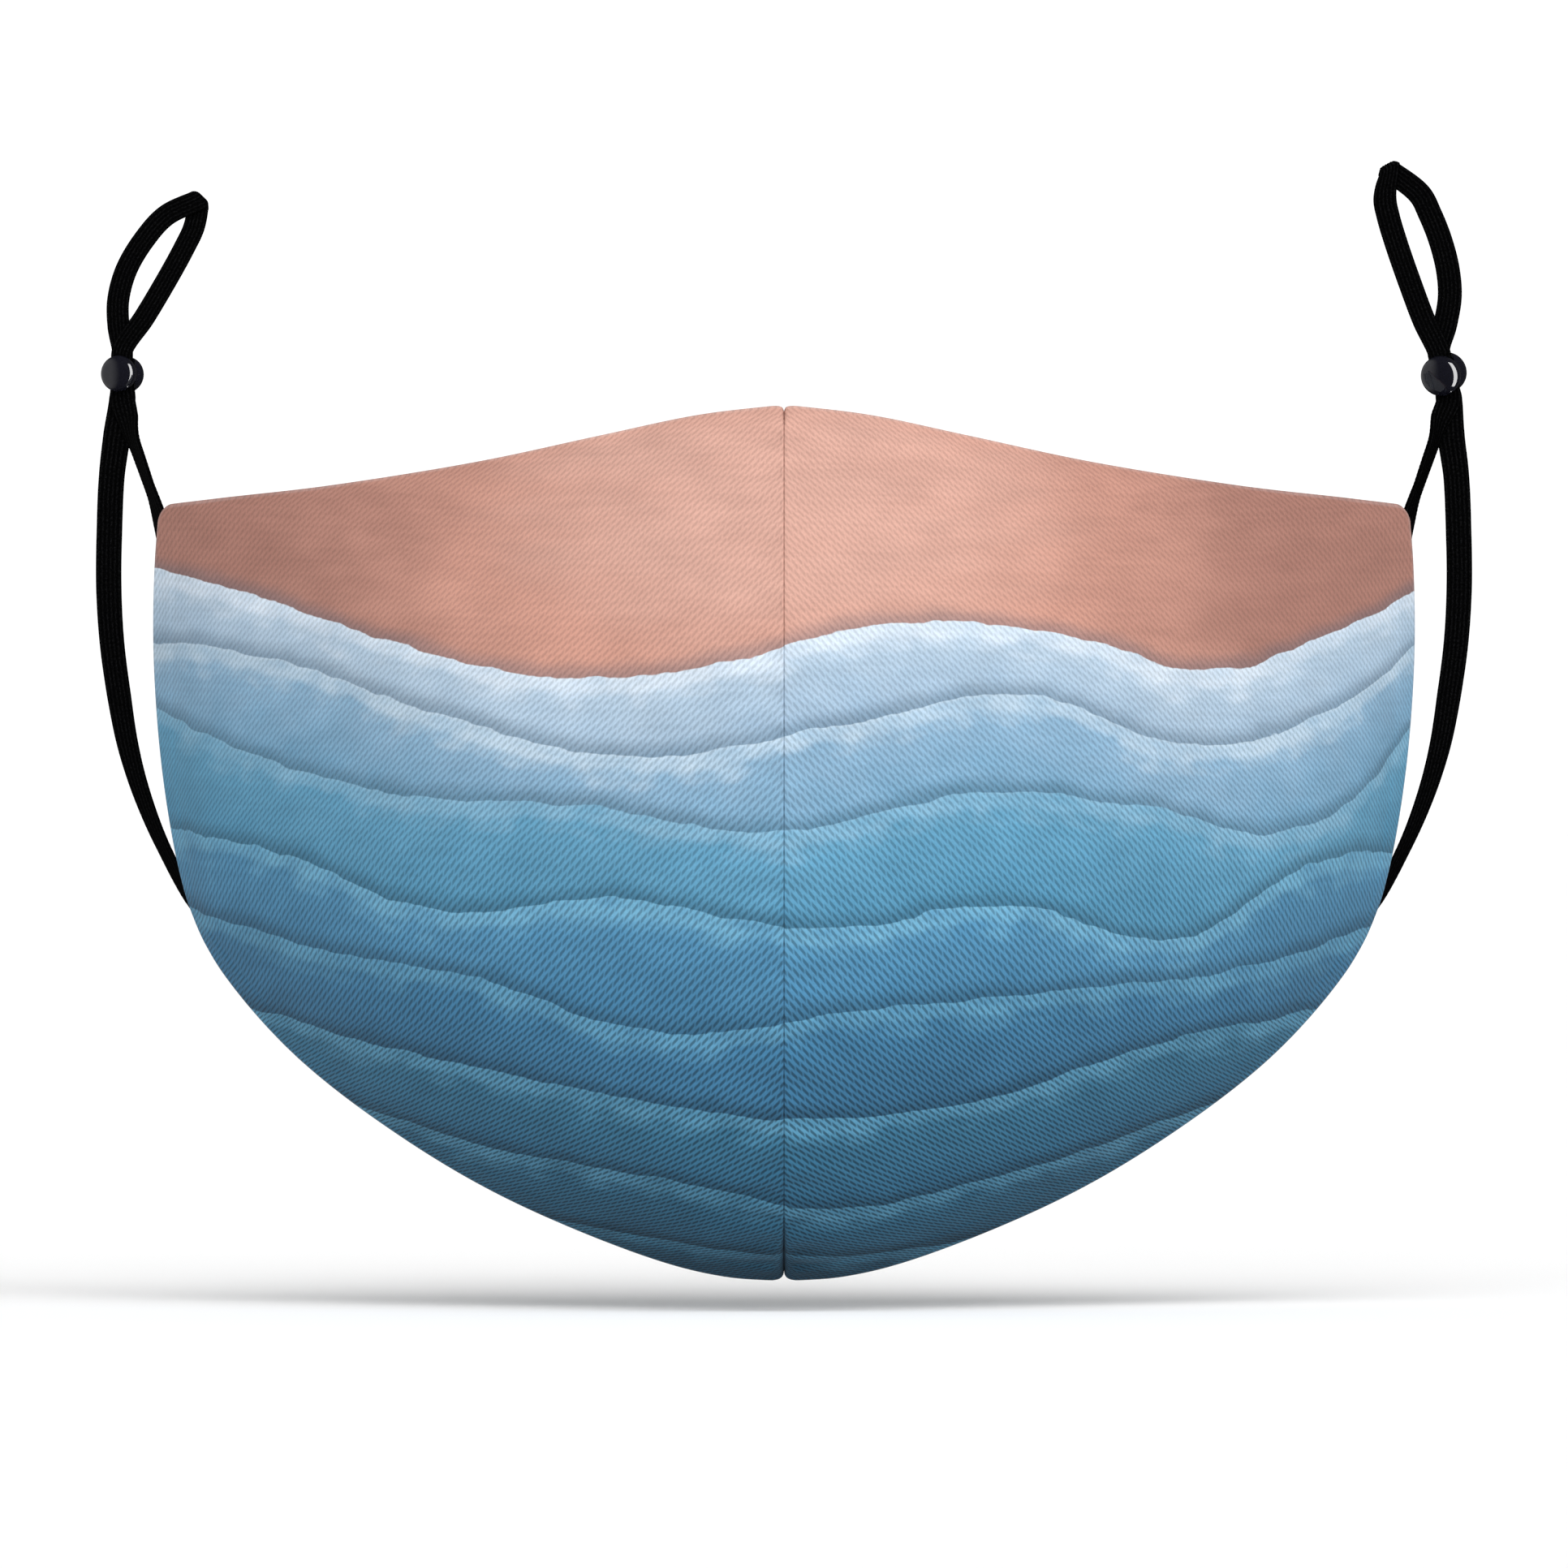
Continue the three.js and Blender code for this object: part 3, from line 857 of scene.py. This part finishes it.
def inwardAt(up, step=0.002):
    rise = unit(seamAt(np.clip(up + step, 0, 1)) - seamAt(np.clip(up - step, 0, 1)))
    return np.stack([np.zeros_like(up), rise[..., 2], -rise[..., 1]], -1)


def bent(start, corner, end, pace):
    pace = pace[:, None]
    start, corner, end = start[:, None], corner[:, None], end[:, None]
    return start * (1 - pace) ** 2 + corner * 2 * pace * (1 - pace) + end * pace**2


# Where the outer face starts to turn into the seam, at each row.
def foldLegs(rows):
    look = panelLook
    toEnd = np.minimum(rows, 1 - rows) * seamLength
    atEnd = look["foldLeg"] + (look["topLeg"] - look["foldLeg"]) * rows
    foot, top = look["legReach"]
    start, reach = look["legStart"] * (1 - rows), foot + (top - foot) * rows
    return atEnd + (look["middleLeg"] - atEnd) * ease((toEnd - start) / reach)


# One side of the cloth, in rows from the bottom up and columns from the allowance's raw edge,
# through the fold, to the side. Gives the points and the normals of the part past the fold.
def clothSheet(columns, rows, inner):
    look = panelLook
    leg = foldLegs(rows)[:, None] + (look["innerLeg"] if inner else 0)
    across, up = insetPlace(columns[None, :], rows[:, None], leg)
    face = facePoint(across, up)
    normal = faceNormal(across, up)
    corner = facePoint(np.zeros(len(rows)), up[:, 0])
    inward = inwardAt(up[:, 0])
    raw = corner + inward * (look["foldLeg"] + look["allowance"])
    turned, end = corner, corner + inward * leg
    if inner:
        face = face - normal * look["thickness"]
        sideways = np.array((look["thickness"], 0, 0))
        raw = raw + sideways
        turned = corner + sideways + inward * look["innerCorner"]
        end = corner + sideways + inward * leg
    pace = np.linspace(1, 0, look["foldSteps"] + 1)[:-1]
    fold = bent(face[:, 0], turned, end, pace)
    share = np.linspace(0, 1, look["allowanceSteps"] + 1)[:-1, None]
    allowance = raw[:, None] * (1 - share) + end[:, None] * share
    return np.concatenate([allowance, fold, face], 1), normal


# Distances over the cloth: from the seam, up the cloth, and to the nearest free edge.
def clothPlaces(sheet):
    look = panelLook
    run = np.cumsum(np.linalg.norm(np.diff(sheet, axis=1), axis=2), 1)
    run = np.concatenate([np.zeros((len(sheet), 1)), run], 1)
    rise = np.cumsum(np.linalg.norm(np.diff(sheet, axis=0), axis=2), 0)
    rise = np.concatenate([np.zeros((1, sheet.shape[1])), rise], 0)
    toEdge = np.minimum(np.minimum(rise, rise[-1:] - rise), run[:, -1:] - run) + look["rim"]
    contact = look["allowanceSteps"]
    level = len(sheet) // 2
    return run - run[:, contact : contact + 1], rise - rise[level] + sheet[level, :, 2], toEdge


# How far the cloth stands out of its smooth form: puckers that the stitches draw along the seam,
# and soft, wide waves that die out at the edges.
def clothWaves(run, rise, toEdge, side):
    look = panelLook
    shift = look["phase"][side]
    pitch = 2 * math.pi / look["puckerPitch"]
    wander = 0.9 * np.sin(rise / 9.7 + shift) + 0.7 * np.sin(rise / 4.3 + 2 * shift)
    fade = (run / 2.4) * np.exp(1 - run / 2.4) * ease((look["puckerReach"] * 2 - run) / 6)
    pucker = look["pucker"] * np.sin(pitch * rise + wander) * np.clip(fade, 0, 1)
    wide = np.sin(run / 9.5 + 1.3 * np.sin(rise / 17 + shift) + shift)
    wide = wide + 0.8 * np.sin(rise / 8.3 - run / 21 + 2.1 * shift)
    inside = ease((toEdge - 1) / 16) * ease((run - 4) / 20)
    return pucker * ease(toEdge / 5) + look["softness"] * wide * inside


def turnedBand(toEdge, run):
    look = panelLook
    band = 1 - ease((toEdge - look["turning"]) / 1.3 + 0.5)
    return look["turningStep"] * band * ease(run / 4)


def ringAround(grid):
    return np.concatenate([grid[0, :-1], grid[:-1, -1], grid[-1, :0:-1], grid[:0:-1, 0]])


# Half-round strips that close the cloth all the way round, from the outer side to the inner.
def rimRings(outer, inner):
    look = panelLook
    near = outer.copy()
    near[0], near[-1] = outer[1], outer[-2]
    near[1:-1, 0], near[1:-1, -1] = outer[1:-1, 1], outer[1:-1, -2]
    front, back, inside = ringAround(outer), ringAround(inner), ringAround(near)
    along = np.roll(front, -1, axis=0) - np.roll(front, 1, axis=0)
    out = unit(np.cross(along, front - back))
    out = out * np.sign(np.sum(out * (front - inside), axis=1, keepdims=True))
    angles = np.linspace(0, math.pi, look["rimSteps"] + 1)[1:-1, None, None]
    half = (front - back) / 2
    return (front + back) / 2 + half * np.cos(angles) + out * look["rim"] * np.sin(angles)


def panelColumns():
    look = panelLook
    length = (topLength + bottomLength) / 2

    def spacing(place):
        near = np.minimum(length - place, place + look["fineBand"] / 2)
        return look["fineCell"] + (look["cell"] - look["fineCell"]) * ease(near / look["fineBand"] - 0.6)

    return pacedSteps(length, spacing)


def panelRows():
    look = panelLook

    def spacing(place):
        near = np.minimum(place, seamLength - place)
        return look["fineCell"] + (look["rowCell"] - look["fineCell"]) * ease(near / 12 - 0.4)

    return pacedSteps(seamLength, spacing)


# The outer or inner side of a panel with its waves and turned band, and the distances over it.
def wavyCloth(side, inner):
    columns = panelColumns()
    sheet, normal = clothSheet(columns, panelRows(), inner)
    places = clothPlaces(sheet)
    folded = sheet.shape[1] - len(columns)
    run, rise, toEdge = [values[:, folded:] for values in places]
    thicker = -1 if inner else 1
    lift = clothWaves(run, rise, toEdge, side) + thicker * turnedBand(toEdge, run)
    sheet[:, folded:] += normal * lift[..., None]
    return sheet, places


# Where each point of a grid is baked, between two heights of the square.
def bakePlaces(shape, low, high):
    across, up = np.meshgrid(np.linspace(0.005, 0.995, shape[1]), np.linspace(low, high, shape[0]))
    return np.stack([across, up], -1)


def addPanel(side, materials):
    outer, outerPlace = wavyCloth(side, False)
    inner, innerPlace = wavyCloth(side, True)
    rims = rimRings(outer, inner)
    count = outer.shape[0] * outer.shape[1]
    outerIndex = np.arange(count).reshape(outer.shape[:2])
    rimIndex = 2 * count + np.arange(rims.shape[0] * rims.shape[1]).reshape(rims.shape[:2])
    strip = np.vstack([ringAround(outerIndex), rimIndex, ringAround(outerIndex + count)])
    strip = np.concatenate([strip, strip[:, :1]], 1)
    patches = [  # points, where they are baked, and the material's number
        (outerIndex, bakePlaces(outerIndex.shape, 0.36, 0.995), 0),
        (outerIndex + count, bakePlaces(outerIndex.shape, 0.005, 0.325), 1),
        (strip, bakePlaces(strip.shape, 0.335, 0.35), 0),
    ]
    faces = np.concatenate([cells(index) for index, _, _ in patches])
    bakeMap = np.concatenate([cells(places) for _, places, _ in patches])
    slots = np.concatenate([np.full(len(cells(index)), slot) for index, _, slot in patches])

    points = np.concatenate([outer.reshape(-1, 3), inner.reshape(-1, 3), rims.reshape(-1, 3)])
    points = points * (outward[side], 1, 1)
    rimPlace = [np.tile(ringAround(values), len(rims)) for values in outerPlace]
    cloth = [np.concatenate([first.ravel(), second.ravel(), rim])
             for first, second, rim in zip(outerPlace, innerPlace, rimPlace)]
    cloth = np.stack(cloth, -1) * (outward[side], 1, 1)
    panel = meshFrom("cloth_panel_" + side, points, faces, materials, slots, bakeMap, {"cloth": cloth})
    faceOut(panel)
    joinFrame(panel, "print_cloth", "panel_" + side)
    sewnCloth.objects.link(panel)
    return panel


# Twill: fine ribs that climb towards the seam from both sides, each groove broken into short,
# steeper dashes. Towards the chin the ribs lie flatter and closer.
twillLook = {
    "ribs": 0.66,  # in each millimetre of height at the height where they are widest
    "widestAt": -20,
    "closerUp": 0.0009,
    "closerDown": 0.000052,
    "across": 0.615,  # ribs in each millimetre across
    "acrossUp": 0.0021,
    "flatterFrom": -30,
    "flatter": 0.0028,
    "sideStart": 55,
    "sideCurl": 0.0008,
    "float": 1.3,  # length of a dash
    "dashTilt": 0.24,
    "shift": 0.4,  # of a float, from one rib's dashes to the next one's
    "lineEdges": (0.12, 0.36),  # where a groove's middle ends and where it fades out
    "dashEdges": (0.28, 0.5),
    "dashEnd": 0.3,  # how deep the groove still is between two dashes
}


# Which rib lies at a place. The whole number is the rib, and the rest is the place on it.
def ribNumber(tree, distance, up):
    look = twillLook
    high = reckon(tree, "SUBTRACT", up, look["widestAt"])
    above = reckon(tree, "MAXIMUM", high, 0)
    below = reckon(tree, "MINIMUM", high, 0)
    rise = reckon(tree, "MULTIPLY", up, look["ribs"])
    rise = reckon(tree, "MULTIPLY_ADD", reckon(tree, "POWER", above, 2), look["closerUp"], rise)
    rise = reckon(tree, "MULTIPLY_ADD", reckon(tree, "POWER", below, 3), look["closerDown"], rise)
    over = reckon(tree, "MAXIMUM", up, 0)
    steep = reckon(tree, "MULTIPLY_ADD", over, look["acrossUp"], look["across"])
    under = reckon(tree, "MINIMUM", reckon(tree, "SUBTRACT", up, look["flatterFrom"]), 0)
    steep = reckon(tree, "MULTIPLY_ADD", under, look["flatter"], steep)
    outer = reckon(tree, "MAXIMUM", reckon(tree, "SUBTRACT", distance, look["sideStart"]), 0)
    rise = reckon(tree, "MULTIPLY_ADD", reckon(tree, "POWER", outer, 2), look["sideCurl"], rise)
    return reckon(tree, "MULTIPLY_ADD", distance, steep, rise)


# How deep in a groove a place is, from 0 to 1.
def twillGroove(tree, across, up):
    look = twillLook
    distance = reckon(tree, "ABSOLUTE", across)
    rib = ribNumber(tree, distance, up)
    number = reckon(tree, "FLOOR", rib)
    cell = reckon(tree, "MULTIPLY_ADD", number, look["shift"],
                  reckon(tree, "DIVIDE", distance, look["float"]))
    inCell = reckon(tree, "SUBTRACT", reckon(tree, "FRACT", cell), 0.5)
    rib = reckon(tree, "FRACT", reckon(tree, "MULTIPLY_ADD", inCell, look["dashTilt"], rib))
    away = reckon(tree, "ABSOLUTE", reckon(tree, "SUBTRACT", rib, 0.5))
    line = ramped(tree, away, *look["lineEdges"], 1.0, 0.0)
    dash = ramped(tree, reckon(tree, "ABSOLUTE", inCell), *look["dashEdges"], 1.0, look["dashEnd"])
    return reckon(tree, "MULTIPLY", line, dash)


# The print: soft layered waves under a warm sky, drawn on the flat cloth.
printLook = {
    "halfWidth": 140,
    "low": -100,
    "high": 110,
    "sky": srgb(180, 133, 118),
    "skyGlow": srgb(188, 148, 135),
    "skyShade": srgb(145, 104, 93),
    "waves": [  # crest across and up, then the colours at the crest, below it and deep down
        ([(-130, 46), (-100, 41), (-70, 33), (-40, 27), (-12, 29), (18, 36), (48, 34), (75, 28),
          (100, 33), (130, 44)], (188, 199, 210), (154, 173, 190), (132, 157, 179)),
        ([(-130, 33), (-95, 30), (-60, 21), (-25, 14), (10, 19), (40, 24), (70, 16), (100, 20),
          (130, 34)], (163, 182, 197), (121, 153, 177), (100, 141, 168)),
        ([(-130, 22), (-100, 14), (-68, 8), (-35, 6), (0, 2), (32, 8), (62, 6), (95, 2),
          (130, 18)], (114, 155, 179), (84, 136, 164), (70, 124, 153)),
        ([(-130, 2), (-95, -2), (-60, -11), (-28, -9), (5, -14), (38, -10), (70, -16),
          (100, -4), (130, -2)], (97, 149, 176), (69, 121, 153), (56, 106, 138)),
        ([(-130, -10), (-85, -18), (-55, -22), (-20, -31), (15, -27), (50, -24), (80, -22),
          (130, -12)], (80, 132, 160), (54, 104, 136), (45, 91, 121)),
        ([(-100, -30), (-60, -37), (-30, -42), (0, -46), (30, -44), (60, -36), (100, -30)],
         (74, 126, 153), (47, 97, 124), (38, 84, 111)),
        ([(-90, -45), (-50, -55), (-20, -58), (10, -64), (45, -57), (90, -45)],
         (64, 113, 138), (38, 84, 109), (31, 71, 94)),
        ([(-60, -70), (-20, -74), (20, -77), (60, -70)],
         (50, 96, 120), (29, 67, 88), (23, 58, 78)),
    ],
    "depth": 16,  # from a crest to its deepest colour
    "shadow": 3.5,  # that a crest casts on what is behind it
    "ragged": 2.4,  # how far a crest's edge wanders
    "grooveHeights": (-70, 45),
    "grooveShade": (0.85, 0.2),  # how dark the painted shade in the twill's grooves is at these heights
    "grooveShare": 0.36,  # of the cloth, so that its mean tone stays
}


def skyColour(tree, across, up):
    look = printLook
    cloud = grain(tree, across, up, 26, 9, 4, 3.1)
    aside = reckon(tree, "DIVIDE", reckon(tree, "ABSOLUTE", across), 100)
    warm = ramped(tree, reckon(tree, "MULTIPLY_ADD", cloud, 0.5, aside), 0.55, 1.25)
    glow = reckon(tree, "POWER", reckon(tree, "DIVIDE", across, 46), 2)
    high = reckon(tree, "POWER", reckon(tree, "DIVIDE", reckon(tree, "SUBTRACT", up, 56), 26), 2)
    glow = ramped(tree, reckon(tree, "MULTIPLY_ADD", cloud, -1.1, reckon(tree, "ADD", glow, high)),
                  -0.6, 1.1, 0.85, 0.0)
    colour = blended(tree, warm, look["sky"], look["skyShade"])
    return blended(tree, glow, colour, look["skyGlow"])


def addWave(tree, behind, across, up, number, wave):
    look = printLook
    crest, lit, body, deep = wave
    span = look["high"] - look["low"]
    points = [((s + look["halfWidth"]) / (2 * look["halfWidth"]), (t - look["low"]) / span)
              for s, t in crest]
    share = reckon(tree, "MULTIPLY_ADD", across, 0.5 / look["halfWidth"], 0.5)
    line = reckon(tree, "MULTIPLY_ADD", drawnCurve(tree, share, points), span, look["low"])
    ragged = grain(tree, across, up, 7, 5, 5, 11.3 * number)
    line = reckon(tree, "ADD", line, -look["ragged"] / 2)
    line = reckon(tree, "MULTIPLY_ADD", ragged, look["ragged"], line)
    below = reckon(tree, "SUBTRACT", line, up)
    shade = ramped(tree, below, -look["shadow"], 0.0, 0.0, 0.42)
    behind = blended(tree, shade, behind, srgb(*[value * 0.55 for value in deep]))
    ripple = reckon(tree, "SINE", reckon(tree, "MULTIPLY", below, 2 * math.pi / 2.7))
    ripple = reckon(tree, "MULTIPLY", ripple, ramped(tree, below, 1.0, 11.0, 0.035, 0.0))
    depth = reckon(tree, "DIVIDE", below, look["depth"])
    depth = reckon(tree, "ADD", depth, reckon(tree, "MULTIPLY_ADD", ragged, 0.5, -0.25))
    depth = reckon(tree, "ADD", depth, ripple)
    water = coloursAlong(tree, depth, [
        (0.0, srgb(*lit)), (0.3, srgb(*body)), (1.0, srgb(*deep)),
    ])
    return blended(tree, ramped(tree, below, -0.12, 0.12), behind, water)


# The grey that darkens or lightens the print: mottled, streaked and specked, with painted shade in the
# twill's grooves and painted light on the ribs between them.
def toneAndGrooveShade(tree, across, up, mottle, groove, speck):
    look = printLook
    streak = grain(tree, across, up, 14, 0.7, 2, 9.1)
    tone = reckon(tree, "ADD", ramped(tree, mottle, 0.2, 0.8, 0.93, 1.05),
                  ramped(tree, streak, 0.2, 0.8, -0.04, 0.04))
    # Painted shade in the twill's grooves and painted light on its ribs, stronger low on the cloth.
    depth = ramped(tree, up, *look["grooveHeights"], *look["grooveShade"])
    shadedRelief = reckon(tree, "SUBTRACT", look["grooveShare"], groove)
    tone = reckon(tree, "MULTIPLY", tone, reckon(tree, "MULTIPLY_ADD", shadedRelief, depth, 1))
    tone = reckon(tree, "MULTIPLY", tone, ramped(tree, speck, 0.2, 0.8, 0.95, 1.05))
    grey = tree.nodes.new("ShaderNodeCombineColor")
    for socket in grey.inputs:
        feed(tree, socket, tone)
    return grey.outputs[0]


def printMaterial():
    material, tree, shader = plainShader("printed twill", srgb(74, 130, 164), 0.78,
                                         Specular_IOR_Level=0.25, Sheen_Weight=0.05,
                                         Sheen_Roughness=0.5)
    across, up, toEdge = placeOn(tree, "cloth")
    colour = skyColour(tree, across, up)
    for number, wave in enumerate(printLook["waves"]):
        colour = addWave(tree, colour, across, up, number + 1, wave)
    mottle = grain(tree, across, up, 9, 5, 3, 5.7)
    groove = twillGroove(tree, across, up)
    speck = grain(tree, across, up, 0.35, 0.35, 1, 2.2)
    tone = toneAndGrooveShade(tree, across, up, mottle, groove, speck)
    colour = blended(tree, 1.0, colour, tone, "MULTIPLY")
    worn = reckon(tree, "MULTIPLY", ramped(tree, toEdge, 0.4, 1.0, 0.2, 0.0), mottle)
    colour = blended(tree, worn, colour, srgb(225, 232, 238))
    tree.links.new(colour, shader.inputs["Base Color"])
    height = reckon(tree, "MULTIPLY_ADD", groove, -1.0, reckon(tree, "MULTIPLY", speck, 0.5))
    bumpFrom(tree, shader, height, 0.05, 0.7)
    return material


def reverseMaterial():
    material, tree, shader = plainShader("pale cloth reverse", srgb(226, 231, 235), 0.85,
                                         Sheen_Weight=0.06, Sheen_Roughness=0.5)
    across, up, _ = placeOn(tree, "cloth")
    groove = twillGroove(tree, across, up)
    mottle = grain(tree, across, up, 12, 9, 3, 1.7)
    # Painted shade: the twill's grooves are darker, over a random mottle.
    shade = reckon(tree, "MULTIPLY_ADD", groove, -0.35, mottle)
    colour = coloursAlong(tree, shade, [(0.0, srgb(222, 227, 231)), (0.7, srgb(232, 236, 239))])
    tree.links.new(colour, shader.inputs["Base Color"])
    bumpFrom(tree, shader, reckon(tree, "MULTIPLY", groove, -1.0), 0.05, 0.7)
    return material


# Sewing: thread is a fine tube, and each kind of stitch is one joined mesh.
threadLook = {
    "radius": 0.14,
    "sides": 6,
    "plyPitch": 0.5,
    "stitch": 2.6,
    "stitchDepth": 1.5,  # from the fold's leg to the line of stitches
    "stitchRise": 0.22,  # how high a stitch arches
    "stitchSink": 0.12,  # and how deep its ends sink in
    "overcast": 0.85,
}
tackLook = {"start": 1, "length": 3.4, "width": 1.9, "crossings": 18, "sink": 0.25}


def tubeAlong(points, radius, sides):
    points = np.array(points, float)
    along = unit(np.gradient(points, axis=0))
    first = np.cross(along[0], (0.31, 0.52, 0.79))
    frames = []
    for heading in along:
        first = unit(first - heading * np.dot(first, heading))
        frames.append(first)
    first = np.array(frames)
    second = np.cross(along, first)
    angles = np.linspace(0, 2 * math.pi, sides, endpoint=False)[:, None]
    ring = points[:, None] + radius * (
        first[:, None] * np.cos(angles) + second[:, None] * np.sin(angles))
    run = runAlong(points)
    ply = np.broadcast_arrays(run[:, None], angles[:, 0], 0.0)
    return ring, np.stack(ply, -1)


def addThread(name, paths, radius, material, slot):
    points, faces, ply = [], [], []
    start = 0
    for path in paths:
        ring, place = tubeAlong(path, radius, threadLook["sides"])
        index = start + np.arange(ring.shape[0] * ring.shape[1]).reshape(ring.shape[:2])
        faces += tubeFaces(index)
        points.append(ring.reshape(-1, 3))
        ply.append(place.reshape(-1, 3))
        start += index.size
    piece = meshFrom(name, np.concatenate(points), faces, [material],
                     vectors={"ply": np.concatenate(ply)})
    joinFrame(piece, slot)
    return piece


def threadMaterial(name, colour):
    material, tree, shader = plainShader(name, colour, 0.55, Sheen_Weight=0.1)
    along, angle, _ = placeOn(tree, "ply")
    twist = reckon(tree, "MULTIPLY_ADD", along, 2 * math.pi / threadLook["plyPitch"], angle)
    ply = reckon(tree, "SINE", twist)
    # Painted shade: a dark helical stripe follows the twist of the plies, as shade between them.
    dark = tuple(value * 0.6 for value in colour[:3])
    shade = coloursAlong(tree, ramped(tree, ply, -1.0, 1.0), [(0.0, (*dark, 1)), (0.6, colour)])
    tree.links.new(shade, shader.inputs["Base Color"])
    bumpFrom(tree, shader, ply, 0.04, 0.8)
    return material


# A place on the seam's allowance: sideways from the middle, and in from the seam's corner.
def onAllowance(share, sideways, depth):
    corner = seamAt(share)
    return corner + inwardAt(share) * depth + np.array((sideways, 0, 0))


def seamStitches():
    look = threadLook
    depth = panelLook["foldLeg"] + look["stitchDepth"]
    count = int(seamLength / look["stitch"])
    paths = []
    for way in (-1, 1):
        for k in range(1, count - 1):
            shares = (k + np.linspace(0.08, 0.92, 9)) / count
            arch = np.sin(np.linspace(0, math.pi, 9)) ** 0.6
            aside = panelLook["thickness"] + look["stitchRise"] * arch - look["stitchSink"]
            paths.append(onAllowance(shares, 0, depth) + np.outer(way * aside, (1, 0, 0)))
    return paths


def seamOvercast():
    look = panelLook
    face = look["thickness"] + 0.12
    raw = look["foldLeg"] + look["allowance"] + look["rim"]
    turn = [  # sideways and in, over the raw edges from one face to the other
        (-face + 0.3, raw - 2.9), (-face - 0.02, raw - 2.6), (-face - 0.03, raw - 1.6),
        (-face, raw - 0.6), (-face * 0.7, raw + 0.1), (-face * 0.25, raw + 0.2),
    ]
    turn += [(-sideways, depth) for sideways, depth in turn[::-1]]
    crossings = int(seamLength / threadLook["overcast"]) - 4
    path = []
    for k in range(crossings):
        for j, (sideways, depth) in enumerate(turn):
            share = (k + 2 + j / len(turn)) / (crossings + 4)
            path.append(onAllowance(share, sideways * (1 if k % 2 else -1), depth))
    return [lineThrough(path, 3)[1](np.linspace(0, 1, len(path) * 2))]


# Bar tacks: a close zigzag through each end of a cord, on its rear face.
def barTacks(rings):
    look = tackLook
    total = rings["run"][-1]
    lift = cordLook["thickness"] / 2 + 0.05
    paths = []
    for toPlace in (lambda run: run, lambda run: total - run):
        steps = np.arange(look["crossings"] * 6 + 1) / 6
        run = toPlace(look["start"] + look["length"] * steps / look["crossings"])
        swing = look["width"] / 2 * np.clip(1.25 * np.cos(math.pi * steps), -1, 1)
        sink = look["sink"] * (np.abs(swing) >= look["width"] / 2)
        middle, across, facing = [
            np.stack([np.interp(run, rings["run"], rings[key][:, k]) for k in range(3)], -1)
            for key in ("middle", "across", "facing")
        ]
        paths.append(middle + across * swing[:, None] - facing * (lift - sink)[:, None])
    return paths


def addCords():
    knit, gloss = knitMaterial(), beadMaterial()
    black = threadMaterial("black sewing thread", (0.01, 0.01, 0.011, 1))
    for side in outward:
        bead = addBead(side, gloss)
        cord, rings = addCord(side, knit)
        tacks = addThread("bar_tacks_" + side, barTacks(rings), threadLook["radius"], black, "elastic")
        print("cord", side, "length", round(rings["length"], 1), "mm")


def addPanels():
    cloth = [printMaterial(), reverseMaterial()]
    pale = threadMaterial("pale sewing thread", srgb(222, 226, 230))
    for side in outward:
        panel = addPanel(side, cloth)
        print("panel", side, len(panel.data.polygons), "faces")
    addThread("seam_stitches", seamStitches(), threadLook["radius"], pale, "print_cloth")
    addThread("seam_overcast", seamOvercast(), threadLook["radius"], pale, "print_cloth")


addCamera()
addStage()
print("camera and stage placed")
addCords()
print("cords and beads made")
addPanels()
print("panels sewn")
